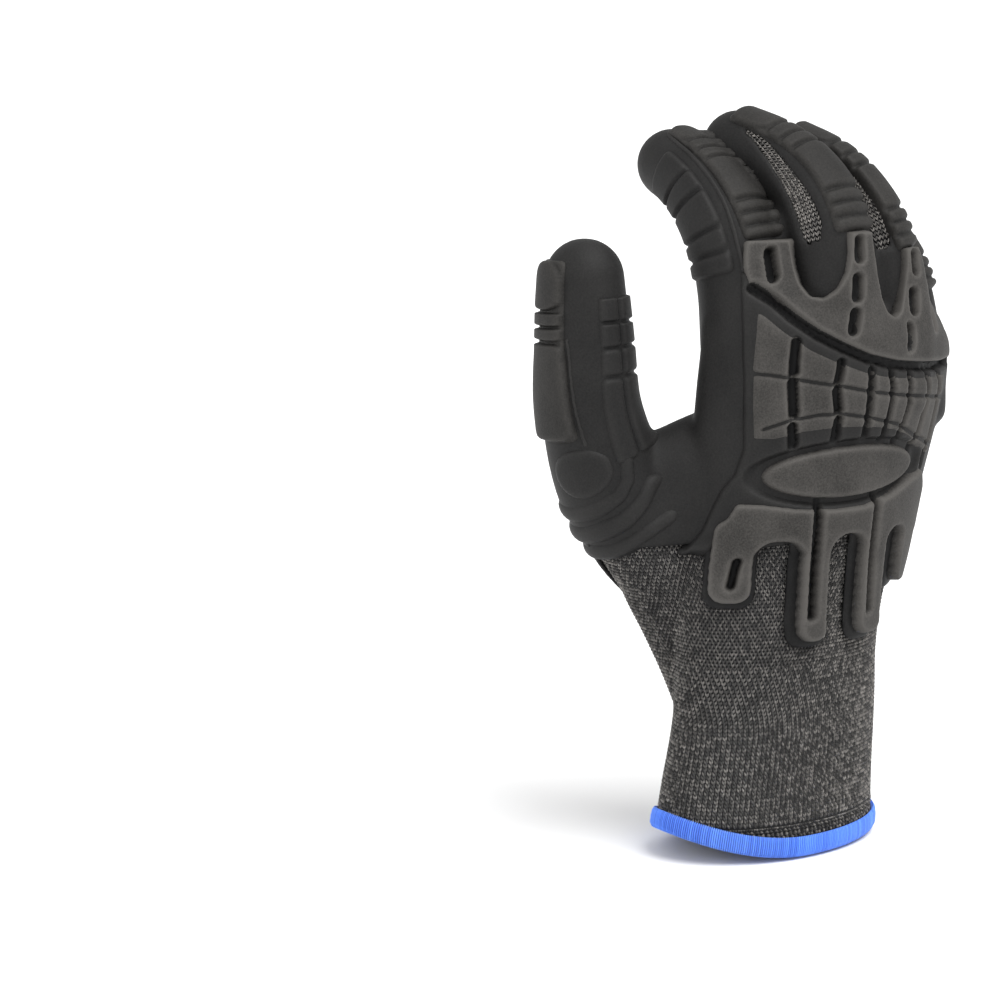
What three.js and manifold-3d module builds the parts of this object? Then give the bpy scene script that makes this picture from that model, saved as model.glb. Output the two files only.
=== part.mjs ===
// Right-hand work glove: a seamless knitted liner with a moulded rubber coat bonded over it,
// raised grip pads on the palm and thick impact guards on the back, and an overlocked cuff edge.
// Millimetres. +Z runs from the cuff to the fingertips, -Y is the back of the hand, +Y the palm,
// -X the thumb side. The origin is the middle of the cuff's opening.
import * as THREE from "three";
import Module from "manifold-3d";

const wasm = await Module();
wasm.setup();

// Driving dimensions
const linerWall = 1.2; // 13-gauge knit
const gap = 0.3; // between pieces that are bonded face to face
const coatWall = 1.5;
const palmPadThickness = 1.1;
const guardThickness = 2.3;
const guardWeb = 0.8; // the thin sheet that joins a guard's ribs, and a grip pad's squares
const hemHeight = 5.5;
const hemWall = 1.1;
const hemLift = 8.5; // the cuff's edge stands this much higher at its two sides

// Offsets from the liner's outer face
const coatInner = gap;
const coatOuter = coatInner + coatWall;
const padSeat = coatOuter + gap;
const palmPadTop = padSeat + palmPadThickness;
const guardTop = padSeat + guardThickness;
const webTop = padSeat + guardWeb;

// Every form is measured to the liner's outer face. A row is one cross-section.
const table = (columns, rows) =>
  rows.map((row) => Object.fromEntries(columns.split(" ").map((name, i) => [name, row[i]])));

// Cuff and palm, from the hem to the webs. arch drops the two edges towards the palm, and
// slope lowers the little finger's side of the section.
const handSections = table("z x y halfWidth halfDepth arch slope", [
  [-6, 0, 0, 41.7, 24.6, 0, 0],
  [18, 1.8, -0.4, 39.8, 23.2, 0, 0],
  [46, 3.5, -2, 37.8, 22, 0, 0],
  [62, 3.2, -3, 37.8, 21.5, 0.5, 0],
  [78, 4, -4, 39.4, 21, 1.5, 0],
  [96, 7, -6, 41.6, 20, 3, 0],
  [116, 11.5, -9, 43, 18.5, 6, 0],
  [138, 15.7, -13, 44.8, 16.5, 9.5, -2],
  [158, 18.5, -16.6, 45.8, 15.2, 12.5, -5],
  [170, 19, -18.4, 44.2, 13.4, 14, -8],
  [176, 19, -19, 39.4, 8, 12, -8],
]);

// Digits, from inside the palm to the centre of the fingertip's dome.
const digitColumns = "x y z halfWidth halfDepth";
const digits = {
  index: table(digitColumns, [
    [-12, -8, 146, 12.8, 13],
    [-13.2, -6.5, 165, 13, 13.8],
    [-14, -4, 182.5, 12.2, 12.8],
    [-15, 1.5, 198.5, 11.6, 11.8],
    [-16, 10, 209.5, 10.8, 11],
    [-16.8, 19.5, 216, 10.2, 10.3],
    [-17, 29.5, 219.5, 9.8, 9.7],
  ]),
  middle: table(digitColumns, [
    [9, -17.6, 148, 11.4, 12.5],
    [11, -18.8, 167, 11.8, 13],
    [11.2, -18.4, 185.5, 11.6, 12.4],
    [10.6, -14.6, 202.5, 11, 11.4],
    [8.2, -6.2, 214, 10.4, 10.6],
    [5, 4.5, 221, 10, 10],
    [1, 18.5, 225.5, 9.8, 9.6],
  ]),
  ring: table(digitColumns, [
    [32.5, -16.5, 144, 10.8, 12],
    [34, -17.4, 162, 10.9, 12.4],
    [32.8, -16, 179, 10.4, 11.4],
    [30.2, -12.2, 195, 10, 10.6],
    [26.8, -5.2, 206, 9.7, 10],
    [23, 3, 213.5, 9.5, 9.6],
    [18, 15.5, 219, 9.5, 9.3],
  ]),
  little: table(digitColumns, [
    [50.4, -7, 136, 9.7, 11],
    [52.6, -5, 152, 9.9, 11.2],
    [52, -4.2, 165.5, 9.6, 10.4],
    [51, -1.2, 179, 9.1, 9.6],
    [49.2, 4.6, 188.5, 8.8, 9.1],
    [47.2, 11.5, 194.5, 8.6, 8.8],
    [45.4, 20.5, 199.5, 8.6, 8.5],
  ]),
  thumb: table(digitColumns, [
    [-17, 8, 74, 13, 14.5],
    [-35, 13, 98, 16.5, 16],
    [-50, 16.5, 122, 16, 16],
    [-56.5, 18.5, 145, 13.8, 13.6],
    [-57.5, 19, 165, 12.8, 12.4],
    [-57.5, 20, 177, 12.4, 11.6],
    [-57.5, 20.5, 186.5, 11.4, 10.8],
  ]),
};

// The fold of the first web, a flat bridge from the thumb to the palm under the index finger.
const thumbWeb = table(digitColumns, [
  [-44, 12, 112, 21, 11.5],
  [-29, 5.5, 113.5, 25, 12],
  [-12, -2, 117, 28, 13],
  [4, -8, 119, 28, 13],
]);

const domeAngles = [42]; // latitudes of the rings round a fingertip
const fine = { hand: 16, digit: 8 }; // sides
const coarse = { hand: 16, digit: 6 }; // inside the digits nothing has to fit

const closedLoop = (sides, pointAt) =>
  Array.from({ length: sides }, (_, i) => pointAt((2 * Math.PI * i) / sides));
const radians = THREE.MathUtils.degToRad;

function handRing(section, offset, sides) {
  const { z, x, y, halfWidth, halfDepth, arch, slope } = section;
  const roof = section === handSections.at(-1) ? offset : 0;
  return closedLoop(sides, (angle) => {
    const across = Math.cos(angle);
    return new THREE.Vector3(
      x + (halfWidth + offset) * across,
      y + (halfDepth + offset) * Math.sin(angle) + arch * across ** 2,
      z + slope * across + roof,
    );
  });
}

// The middle of the hand's section at a height
function handMiddle(z) {
  const last = handSections.length - 1;
  const above = handSections.findIndex((section) => section.z > z);
  const [low, high] = above < 1 ? [above ? last : 0, above ? last : 0] : [above - 1, above];
  const [a, b] = [handSections[low], handSections[high]];
  const part = a === b ? 0 : (z - a.z) / (b.z - a.z);
  return [a.x + (b.x - a.x) * part, a.y + (b.y - a.y) * part];
}

// A digit's centre line with the two axes of its section. widthAxis is square to its curl.
class Digit {
  constructor(stations, widthAxis) {
    this.stations = stations;
    this.path = new THREE.CatmullRomCurve3(stations.map((s) => new THREE.Vector3(s.x, s.y, s.z)));
    this.size = new THREE.CatmullRomCurve3(
      stations.map((s) => new THREE.Vector3(s.halfWidth, s.halfDepth, 0)),
    );
    this.widthAxis = widthAxis.normalize();
  }
  // Angle 0 is along widthAxis, and 90 degrees further is the inside of the curl.
  // shrink and advance go round the fingertip.
  pointAt(t, angle, offset, shrink = 1, advance = 0) {
    const along = this.path.getTangent(t);
    const across = this.widthAxis.clone().addScaledVector(along, -along.dot(this.widthAxis));
    const inwards = new THREE.Vector3().crossVectors(along, across.normalize());
    const size = this.size.getPoint(t);
    return this.path
      .getPoint(t)
      .addScaledVector(across, (size.x + offset) * Math.cos(angle) * shrink)
      .addScaledVector(inwards, (size.y + offset) * Math.sin(angle) * shrink)
      .addScaledVector(along, (Math.min(size.x, size.y) + offset) * advance);
  }
  // The first ring steps back by the offset, so that a larger form holds a smaller one.
  rings(offset, sides) {
    return this.shares().map((t) =>
      closedLoop(sides, (angle) => {
        const point = this.pointAt(t, angle, offset);
        return t ? point : point.addScaledVector(this.path.getTangent(0), -offset);
      }),
    );
  }
  shares() {
    return this.stations.map((_, i) => i / (this.stations.length - 1));
  }
  domeRings(offset, sides) {
    return domeAngles.map((degrees) => {
      const latitude = radians(degrees);
      return closedLoop(sides, (angle) =>
        this.pointAt(1, angle, offset, Math.cos(latitude), Math.sin(latitude)),
      );
    });
  }
  tip(offset) {
    return this.pointAt(1, 0, offset, 0, 1);
  }
}

const station = (stations, i) => new THREE.Vector3(stations[i].x, stations[i].y, stations[i].z);
function curlAxis(stations) {
  const [knuckle, joint, tip] = [1, 3, stations.length - 1].map((i) => station(stations, i));
  return new THREE.Vector3().crossVectors(tip.sub(joint), joint.clone().sub(knuckle));
}
const fingerNames = ["index", "middle", "ring", "little"];
const fingers = Object.fromEntries(
  fingerNames.map((name) => [name, new Digit(digits[name], curlAxis(digits[name]))]),
);
const thumb = new Digit(digits.thumb, new THREE.Vector3(-0.2, -1, 0));
const web = new Digit(thumbWeb, new THREE.Vector3(0, 0, 1));

// A closed solid through rings of equal count, ending in a point or in its last ring's middle
function loft(rings, lastPoint) {
  const sides = rings[0].length;
  const middleOf = (ring) =>
    ring.reduce((sum, p) => sum.add(p), new THREE.Vector3()).divideScalar(ring.length);
  const points = [...rings.flat(), middleOf(rings[0]), lastPoint ?? middleOf(rings.at(-1))];
  const first = rings.length * sides;
  const faces = [];
  rings.forEach((_, r) => {
    for (let i = 0; i < sides; i++) {
      const [a, b] = [r * sides + i, r * sides + ((i + 1) % sides)];
      if (r === 0) faces.push([first, b, a]);
      if (r < rings.length - 1) faces.push([a, b, b + sides], [a, b + sides, a + sides]);
      else faces.push([a, b, first + 1]);
    }
  });
  return solidOf(points, faces);
}

function solidOf(points, faces) {
  const make = (list) =>
    new wasm.Manifold(
      new wasm.Mesh({
        numProp: 3,
        vertProperties: new Float32Array(points.flatMap((p) => [p.x, p.y, p.z])),
        triVerts: new Uint32Array(list.flat()),
      }),
    );
  const made = make(faces);
  return made.volume() < 0 ? make(faces.map(([a, b, c]) => [a, c, b])) : made;
}

const joined = (solids) => solids.reduce((sum, solid) => sum.add(solid));
function digitAt(digit, offset, detail = fine) {
  const rings = [...digit.rings(offset, detail.digit), ...digit.domeRings(offset, detail.digit)];
  return loft(rings, digit.tip(offset));
}

// The whole glove's form, grown from the liner's outer face by offset
const grown = new Map();
function handAt(offset, detail = fine) {
  if (!grown.has(offset)) {
    const forms = [
      loft(handSections.map((section) => handRing(section, offset, detail.hand))),
      ...Object.values(fingers).map((finger) => digitAt(finger, offset, detail)),
      digitAt(thumb, offset, detail),
      loft(web.rings(offset, detail.digit)),
    ];
    grown.set(offset, joined(forms));
  }
  return grown.get(offset);
}
const shell = (inner, outer) => handAt(outer).subtract(handAt(inner));

// Outlines on the hand are drawn as [degrees, height] in a fan of rays that starts behind the
// face they lie on. A fan's middle is set off from the section's middle by depth, along Y.
const backFan = { depth: 30, reach: [33, 105] };
const palmFan = { depth: -40, reach: [40, 135] };
function fanPoint(fan, [degrees, z], reach) {
  const [x, y] = handMiddle(z);
  const angle = radians(degrees);
  return new THREE.Vector3(x + reach * Math.cos(angle), y + fan.depth + reach * Math.sin(angle), z);
}
// A slot or notch whose middle runs through two points of the fan, as an outline
const strip = ([a0, z0], [a1, z1], width) => [
  [a0 - width / 2, z0],
  [a1 - width / 2, z1],
  [a1 + width / 2, z1],
  [a0 + width / 2, z0],
];
// A solid with the same outline at two depths, where pointAt places an outline's point
function prism(outline, [near, far], pointAt) {
  const contour = outline.map(([u, v]) => new THREE.Vector2(u, v));
  const count = outline.length;
  const points = [near, far].flatMap((depth) => outline.map((p) => pointAt(p, depth)));
  const faces = THREE.ShapeUtils.triangulateShape(contour, []).flatMap(([a, b, c]) => [
    [a, b, c],
    [a + count, c + count, b + count],
  ]);
  const clockwise = THREE.ShapeUtils.isClockWise(contour);
  outline.forEach((_, a) => {
    const b = (a + 1) % count;
    const walls = [
      [a, b + count, b],
      [a, a + count, b + count],
    ];
    faces.push(...(clockwise ? walls.map(([p, q, r]) => [p, r, q]) : walls));
  });
  return solidOf(points, faces);
}
const wedge = (fan, outline) => prism(outline, fan.reach, (p, reach) => fanPoint(fan, p, reach));
const wedges = (fan, outlines) => joined(outlines.map((outline) => wedge(fan, outline)));

// A band along a digit that steps up to each rib's height. degrees are the directions of its
// points round the digit, where 270 is the back.
function ribbed(digit, ribs, degrees, { low, high }) {
  const steps = ribs.flatMap(({ from, to }, i) => [
    ...(i ? [[from, low]] : []),
    [from, high],
    ...digit.shares().filter((t) => t > from && t < to).map((t) => [t, high]),
    [to, high],
    ...(i < ribs.length - 1 ? [[to, low]] : []),
  ]);
  const points = steps.flatMap(([t, top]) =>
    [top, padSeat].flatMap((offset) => degrees.map((d) => digit.pointAt(t, radians(d), offset))),
  );
  const [count, ring] = [degrees.length, 2 * degrees.length];
  const faces = [];
  const quad = (a, b, c, d) => faces.push([a, b, c], [a, c, d]);
  const around = (i) => (i < count ? i : ring - 1 - (i - count));
  steps.slice(1).forEach((_, r) => {
    for (let i = 0; i < ring; i++) {
      const [a, b] = [r * ring + around(i), r * ring + around((i + 1) % ring)];
      quad(a, b, b + ring, a + ring);
    }
  });
  const last = (steps.length - 1) * ring;
  for (let i = 0; i < count - 1; i++) {
    quad(i, i + count, i + 1 + count, i + 1);
    quad(last + i, last + i + 1, last + i + 1 + count, last + i + count);
  }
  return solidOf(points, faces);
}

// All that lies above a closed line round the glove, whose height depends on the direction. The
// solid's floor runs straight from its middle to twice the glove's width, so the line is halfway.
const edgeSides = 20;
const roofHeight = 400;
function above(heightAt) {
  const angles = Array.from({ length: edgeSides }, (_, i) => (2 * Math.PI * i) / edgeSides);
  const mean = angles.reduce((sum, angle) => sum + heightAt(angle), 0) / edgeSides;
  const [x, y] = handMiddle(mean);
  const ring = (height) =>
    angles.map(
      (angle) => new THREE.Vector3(x + 84 * Math.cos(angle), y + 48 * Math.sin(angle), height(angle)),
    );
  return loft([ring((angle) => mean + 2 * (heightAt(angle) - mean)), ring(() => roofHeight)]);
}
const hemLine = (angle) => hemLift * Math.cos(angle) ** 2;

// The coat's lower edge, from the little finger's side round by the palm and the thumb
const coatEdge = table("degrees z", [
  [0, 90],
  [25, 84],
  [45, 77],
  [70, 71],
  [100, 69],
  [130, 73],
  [150, 84],
  [167, 96],
  [185, 104],
  [200, 103],
  [225, 102],
  [255, 104],
  [285, 105],
  [315, 104],
  [340, 95],
  [360, 90],
]);
function coatLine(angle) {
  const degrees = THREE.MathUtils.radToDeg(angle) % 360;
  const next = Math.max(1, coatEdge.findIndex((row) => row.degrees >= degrees));
  const [a, b] = [coatEdge[next - 1], coatEdge[next]];
  return a.z + ((b.z - a.z) * (degrees - a.degrees)) / (b.degrees - a.degrees);
}

// Guards on the back of the hand, in the back fan's degrees and heights
const wristLobes = table("left right foot", [
  [223, 238, 85],
  [252.5, 263.5, 70.5],
  [277.5, 290, 70.5],
  [299, 313, 86],
]);
const lobeTop = 108; // where the lobes leave the guard's plate
const lobeRound = 0.28; // share of a lobe's width that each of its lower corners takes
const flange = { degrees: 2, height: 2 }; // how far the coat stands out round a lobe
function lobeOutline({ left, right, foot }) {
  const corner = (right - left) * lobeRound;
  return [
    [left, lobeTop],
    [left, foot + corner],
    [left + corner, foot],
    [right - corner, foot],
    [right, foot + corner],
    [right, lobeTop],
  ];
}
const wristPlate = [
  [221, 107],
  [222, 113],
  [226.5, 118],
  [236, 116.8],
  [248, 115.3],
  [262, 114.8],
  [274, 115],
  [287, 117.3],
  [299, 121.5],
  [306, 123],
  [311, 116],
  [314, 107],
];
const wristSlots = [
  strip([231, 99], [231, 90.5], 2.4),
  strip([254.5, 117], [258, 79], 2.2),
  strip([280.5, 119], [284.5, 77], 1.7),
];

const ovalBoss = { degrees: 264.5, z: 126.2, halfWidth: 32, halfHeight: 7.2, sides: 16 };

// Columns of the ribbed plate under the knuckles: the edges of each at its top and at its foot
const knuckleColumns = table("left top leftFoot leftFootZ right rightTop rightFoot rightFootZ", [
  [217.5, 179, 228, 137.5, 229.8, 172, 237.8, 139.5],
  [233, 170.5, 241.5, 138.5, 249.6, 163.6, 254.6, 138.8],
  [253.2, 162.2, 257.8, 138.9, 264, 158.4, 267, 138.4],
  [266.6, 157.6, 269.6, 138.2, 273.6, 156.2, 276.6, 137],
  [275.6, 155.8, 278.6, 136.4, 283.4, 155, 285.6, 134.4],
  [285.8, 154.6, 288, 133.6, 294.4, 154.2, 297.4, 129.5],
  [296.8, 154, 299.6, 128.6, 313, 152.5, 316, 126],
]);

const knucklePlate = [
  [213, 187.5],
  [222, 181.6],
  [231, 175.6],
  [241, 170.6],
  [251, 166.4],
  [263, 162.2],
  [276, 159.8],
  [290, 158.2],
  [305, 157.2],
  [318, 157],
  [320, 168],
  [317, 176],
  [308, 176],
  [304.5, 171],
  [302, 165],
  [297.5, 163.5],
  [295, 170],
  [295.5, 184],
  [294, 192],
  [284, 192.5],
  [281, 186],
  [276, 178.5],
  [268, 177.5],
  [263.5, 184],
  [262.5, 198.4],
  [250.5, 198.8],
  [249, 192],
  [245.5, 186.5],
  [238, 182.6],
  [231, 183],
  [226.5, 188],
  [222.5, 193.5],
  [219.5, 195],
  [209, 194.5],
  [209.5, 190],
];
const knuckleSlots = [
  strip([216.6, 193.5], [218.4, 187], 2.8),
  strip([257, 197], [256.7, 191.5], 2.4),
  strip([256.7, 188.5], [256.3, 181.5], 2.4),
  strip([256, 178.5], [255, 170.5], 2.4),
  strip([290, 190.5], [290, 184], 2.2),
  strip([289, 181], [287, 174], 2.2),
  strip([285.6, 170], [284, 163], 2.2),
];

// Ribs along a finger's back, as shares of its length
const fingerRibs = table("from to", [
  [0.44, 0.5],
  [0.515, 0.558],
  [0.572, 0.735],
  [0.75, 0.79],
  [0.805, 0.85],
  [0.865, 0.985],
]);
// Where each finger's ribs lie round it, in degrees: their two sides and a corner of the coat
const fingerBacks = {
  index: [248, 270, 315],
  middle: [234, 270, 306],
  ring: [246, 270, 314],
  little: [246, 270, 314],
};
const indexGrips = table("from to", [
  [0.385, 0.435],
  [0.455, 0.505],
  [0.525, 0.635],
  [0.66, 0.74],
  [0.765, 0.885],
]);
const indexSide = [160, 180, 216];
const thumbRibs = table("from to", [
  [0.46, 0.69],
  [0.705, 0.75],
  [0.765, 0.82],
  [0.84, 0.97],
]);
const thumbBack = [232, 272, 312];
const thumbGrips = table("from to", [
  [0.4, 0.585],
  [0.6, 0.665],
  [0.68, 0.76],
  [0.78, 0.9],
]);
const thumbSide = [360, 382, 404];
const thumbDisc = { t: 0.392, degrees: 307, halfLength: 0.05, halfDegrees: 38, sides: 12 };
// Ridges round the base of the thumb, as shares of its length
const thumbRidges = table("name from to low high", [
  ["thumb_ridge_1", 0.3, 0.33, 250, 350],
  ["thumb_ridge_2", 0.255, 0.285, 250, 352],
]);
const discDepths = [-3, 9];

// Grip pads on the palm, in the palm fan's degrees and heights
const heelPad = [
  [76.5, 98],
  [72.5, 79.5],
  [79, 75.8],
  [88, 74.8],
  [97.5, 75.3],
  [100, 84],
  [98.8, 92],
  [101.5, 107],
  [104, 121],
  [103.5, 127.5],
  [100, 125],
  [93, 115],
  [84.5, 102],
];
const crossPad = [
  [51.5, 98.5],
  [53.5, 91],
  [59, 88.5],
  [66, 94.5],
  [75, 100.5],
  [81.5, 104],
  [86.5, 111.5],
  [92.3, 120],
  [99, 128],
  [98, 131.5],
  [90, 127.3],
  [80, 120],
  [71, 112],
  [63, 106],
  [56.5, 102],
];
const edgePads = [
  [
    [50, 105],
    [55, 104.5],
    [62, 108.5],
    [70, 114.5],
    [73, 118],
    [73, 126],
    [66, 121.5],
    [57, 117.5],
    [50, 116],
  ],
  [
    [51, 118.5],
    [57, 120],
    [66, 124.5],
    [73, 128.8],
    [74.5, 136.5],
    [66, 135],
    [58, 134],
    [52, 133],
  ],
  [
    [53, 136],
    [59, 137],
    [67, 138],
    [75, 139.3],
    [77, 150],
    [70, 150],
    [62, 150],
    [55, 149],
  ],
];
const thenarOuterPad = [
  [105.5, 78],
  [103.2, 88],
  [104, 99],
  [107.8, 114],
  [110.3, 126],
  [112.8, 131.5],
  [116.5, 135.5],
  [119, 132],
  [115.5, 126],
  [112.5, 117],
  [109.4, 105],
  [107.9, 92],
  [109.5, 78.5],
];
const thenarInnerPad = [
  [112, 84],
  [110.4, 91],
  [111, 98],
  [112, 105],
  [113.7, 112],
  [116, 118.5],
  [119.5, 120],
  [121.5, 112],
  [121, 100],
  [118.5, 91],
  [116, 84.5],
];

function knitLiner() {
  const hollow = handAt(-linerWall, coarse);
  return handAt(0).subtract(hollow).intersect(above((angle) => hemLine(angle) + hemWall + gap));
}

// A strip folded over the liner's raw edge, as one closed loop of a U-shaped section
function cuffHem() {
  const [bottom, top] = handSections;
  const inner = -linerWall - gap;
  const outer = gap;
  const section = [
    [outer + hemWall, 0],
    [outer + hemWall, hemHeight],
    [outer, hemHeight],
    [outer, hemWall],
    [inner, hemWall],
    [inner, hemHeight],
    [inner - hemWall, hemHeight],
    [inner - hemWall, 0],
  ];
  const rings = closedLoop(fine.hand, (angle) =>
    section.map(([offset, height]) => {
      const z = hemLine(angle) + height;
      const part = (z - bottom.z) / (top.z - bottom.z);
      const at = (key) => bottom[key] + (top[key] - bottom[key]) * part;
      const x = at("x") + (at("halfWidth") + offset) * Math.cos(angle);
      return new THREE.Vector3(x, at("y") + (at("halfDepth") + offset) * Math.sin(angle), z);
    }),
  );
  const count = section.length;
  const faces = rings.flatMap((_, r) =>
    section.flatMap((_, i) => {
      const [near, far] = [r * count, ((r + 1) % fine.hand) * count];
      const j = (i + 1) % count;
      return [
        [near + i, far + i, far + j],
        [near + i, far + j, near + j],
      ];
    }),
  );
  return solidOf(rings.flat(), faces);
}

// The coat covers the liner down to its edge, with a flange round each lobe of the wrist guard
function rubberCoat() {
  const flanges = wristLobes.map(({ left, right, foot }) => [
    [left - flange.degrees, lobeTop],
    [left - flange.degrees, foot - flange.height],
    [right + flange.degrees, foot - flange.height],
    [right + flange.degrees, lobeTop],
  ]);
  const covered = above(coatLine).add(wedges(backFan, flanges));
  return shell(coatInner, coatOuter).intersect(covered);
}

const guard = (outline) => shell(padSeat, guardTop).intersect(wedge(backFan, outline));
const palmPad = (outline) => shell(padSeat, palmPadTop).intersect(wedge(palmFan, outline));

function wristGuard() {
  const outlines = [wristPlate, ...wristLobes.map((lobe) => lobeOutline(lobe))];
  return shell(padSeat, guardTop)
    .intersect(wedges(backFan, outlines))
    .subtract(wedges(backFan, wristSlots));
}

const ellipse = (u, v, halfU, halfV, sides) =>
  closedLoop(sides, (angle) => [u + halfU * Math.cos(angle), v + halfV * Math.sin(angle)]);
function ovalGuard() {
  const { degrees, z, halfWidth, halfHeight, sides } = ovalBoss;
  return guard(ellipse(degrees, z, halfWidth, halfHeight, sides));
}

const knuckleColumn = (column) =>
  guard([
    [column.left, column.top],
    [column.leftFoot, column.leftFootZ],
    [column.rightFoot, column.rightFootZ],
    [column.right, column.rightTop],
  ]);

const tall = { low: webTop, high: guardTop };
const shallow = { low: padSeat + guardWeb / 2, high: palmPadTop };
const fingerRoom = 1; // from a finger's guard to what is beside it on the next finger
// Where two fingers touch, a guard gives way to the neighbour's coat, or to its guard.
function fingerGuard(name) {
  const place = fingerNames.indexOf(name);
  const neighbours = [place - 1, place + 1].filter((i) => i >= 0 && i < fingerNames.length);
  const room = neighbours.map((i) =>
    digitAt(fingers[fingerNames[i]], (i < place ? guardTop : coatOuter) + fingerRoom),
  );
  return ribbed(fingers[name], fingerRibs, fingerBacks[name], tall).subtract(joined(room));
}

const knuckleGuard = () => guard(knucklePlate).subtract(wedges(backFan, knuckleSlots));

// A raised piece on the thumb, with its outline in shares of the thumb's length and degrees
function thumbPiece(outline) {
  const block = prism(outline, discDepths, ([t, degrees], offset) =>
    thumb.pointAt(t, radians(degrees), offset),
  );
  return digitAt(thumb, guardTop).subtract(handAt(padSeat)).intersect(block);
}

// A mesh for a finished solid
function meshOf(name, solid, material) {
  const { numProp, vertProperties, triVerts, numVert } = solid.getMesh();
  const positions = new Float32Array(numVert * 3);
  for (let i = 0; i < numVert; i++)
    positions.set(vertProperties.subarray(i * numProp, i * numProp + 3), i * 3);
  const geometry = new THREE.BufferGeometry();
  geometry.setAttribute("position", new THREE.BufferAttribute(positions, 3));
  geometry.setIndex(new THREE.BufferAttribute(triVerts, 1));
  const mesh = new THREE.Mesh(geometry, material);
  mesh.name = name;
  return mesh;
}

const finish = (color, roughness) => new THREE.MeshStandardMaterial({ color, roughness, metalness: 0 });
const knit = finish(0x4a4848, 0.95);
const thread = finish(0x4f82f0, 0.8);
const rubber = finish(0x232323, 0.6);
const paleRubber = finish(0x33312f, 0.65);

const pieces = {
  knit_liner: [knitLiner(), knit],
  cuff_hem: [cuffHem(), thread],
  rubber_coat: [rubberCoat(), rubber],
  wrist_guard: [wristGuard(), paleRubber],
  oval_boss: [ovalGuard(), paleRubber],
  knuckle_guard: [knuckleGuard(), paleRubber],
  thumb_guard: [ribbed(thumb, thumbRibs, thumbBack, tall), paleRubber],
  thumb_side_grip: [ribbed(thumb, thumbGrips, thumbSide, shallow), rubber],
  index_side_grip: [ribbed(fingers.index, indexGrips, indexSide, shallow), rubber],
  heel_pad: [palmPad(heelPad), paleRubber],
  palm_cross_pad: [palmPad(crossPad), paleRubber],
  thenar_outer_pad: [palmPad(thenarOuterPad), paleRubber],
  thenar_inner_pad: [palmPad(thenarInnerPad), paleRubber],
};
const { t, degrees, halfLength, halfDegrees, sides } = thumbDisc;
pieces.thumb_disc = [thumbPiece(ellipse(t, degrees, halfLength, halfDegrees, sides)), paleRubber];
for (const { name, from, to, low, high } of thumbRidges) {
  const middle = (low + high) / 2;
  const outline = [low, middle, high].map((d) => [from, d]);
  const back = [high, middle, low].map((d) => [to, d]);
  pieces[name] = [thumbPiece([...outline, ...back]), rubber];
}
knuckleColumns.forEach((column, i) => {
  pieces[`knuckle_rib_${i + 1}`] = [knuckleColumn(column), paleRubber];
});
for (const name of fingerNames) pieces[`${name}_guard`] = [fingerGuard(name), paleRubber];
edgePads.forEach((outline, i) => {
  pieces[`palm_edge_pad_${i + 1}`] = [palmPad(outline), paleRubber];
});

const glove = new THREE.Group();
for (const [name, [solid, material]] of Object.entries(pieces))
  glove.add(meshOf(name, solid, material));

export default glove;
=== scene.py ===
import math

import bmesh
import bpy
import numpy as np
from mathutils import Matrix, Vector
from mathutils.bvhtree import BVHTree


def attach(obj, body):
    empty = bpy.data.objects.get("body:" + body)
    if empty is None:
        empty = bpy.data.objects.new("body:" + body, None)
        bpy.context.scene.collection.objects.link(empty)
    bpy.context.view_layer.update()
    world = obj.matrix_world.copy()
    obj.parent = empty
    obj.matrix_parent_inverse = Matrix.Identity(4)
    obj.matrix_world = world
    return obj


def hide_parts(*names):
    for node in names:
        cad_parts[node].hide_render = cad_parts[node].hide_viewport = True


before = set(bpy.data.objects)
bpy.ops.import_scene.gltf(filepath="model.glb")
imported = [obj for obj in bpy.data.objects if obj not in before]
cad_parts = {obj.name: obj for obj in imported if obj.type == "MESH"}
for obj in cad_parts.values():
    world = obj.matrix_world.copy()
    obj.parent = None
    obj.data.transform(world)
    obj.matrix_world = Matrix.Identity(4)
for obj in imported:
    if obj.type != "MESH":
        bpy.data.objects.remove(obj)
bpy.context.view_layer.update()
mm = 0.001  # lengths below are in millimetres, and meshes are in metres


def table(columns, rows):
    return {name: np.array([row[i] for row in rows], float) for i, name in enumerate(columns.split())}


def say(text):
    print("work glove:", text)


# ---- the hand's form, measured to the liner's outer face ----

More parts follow.
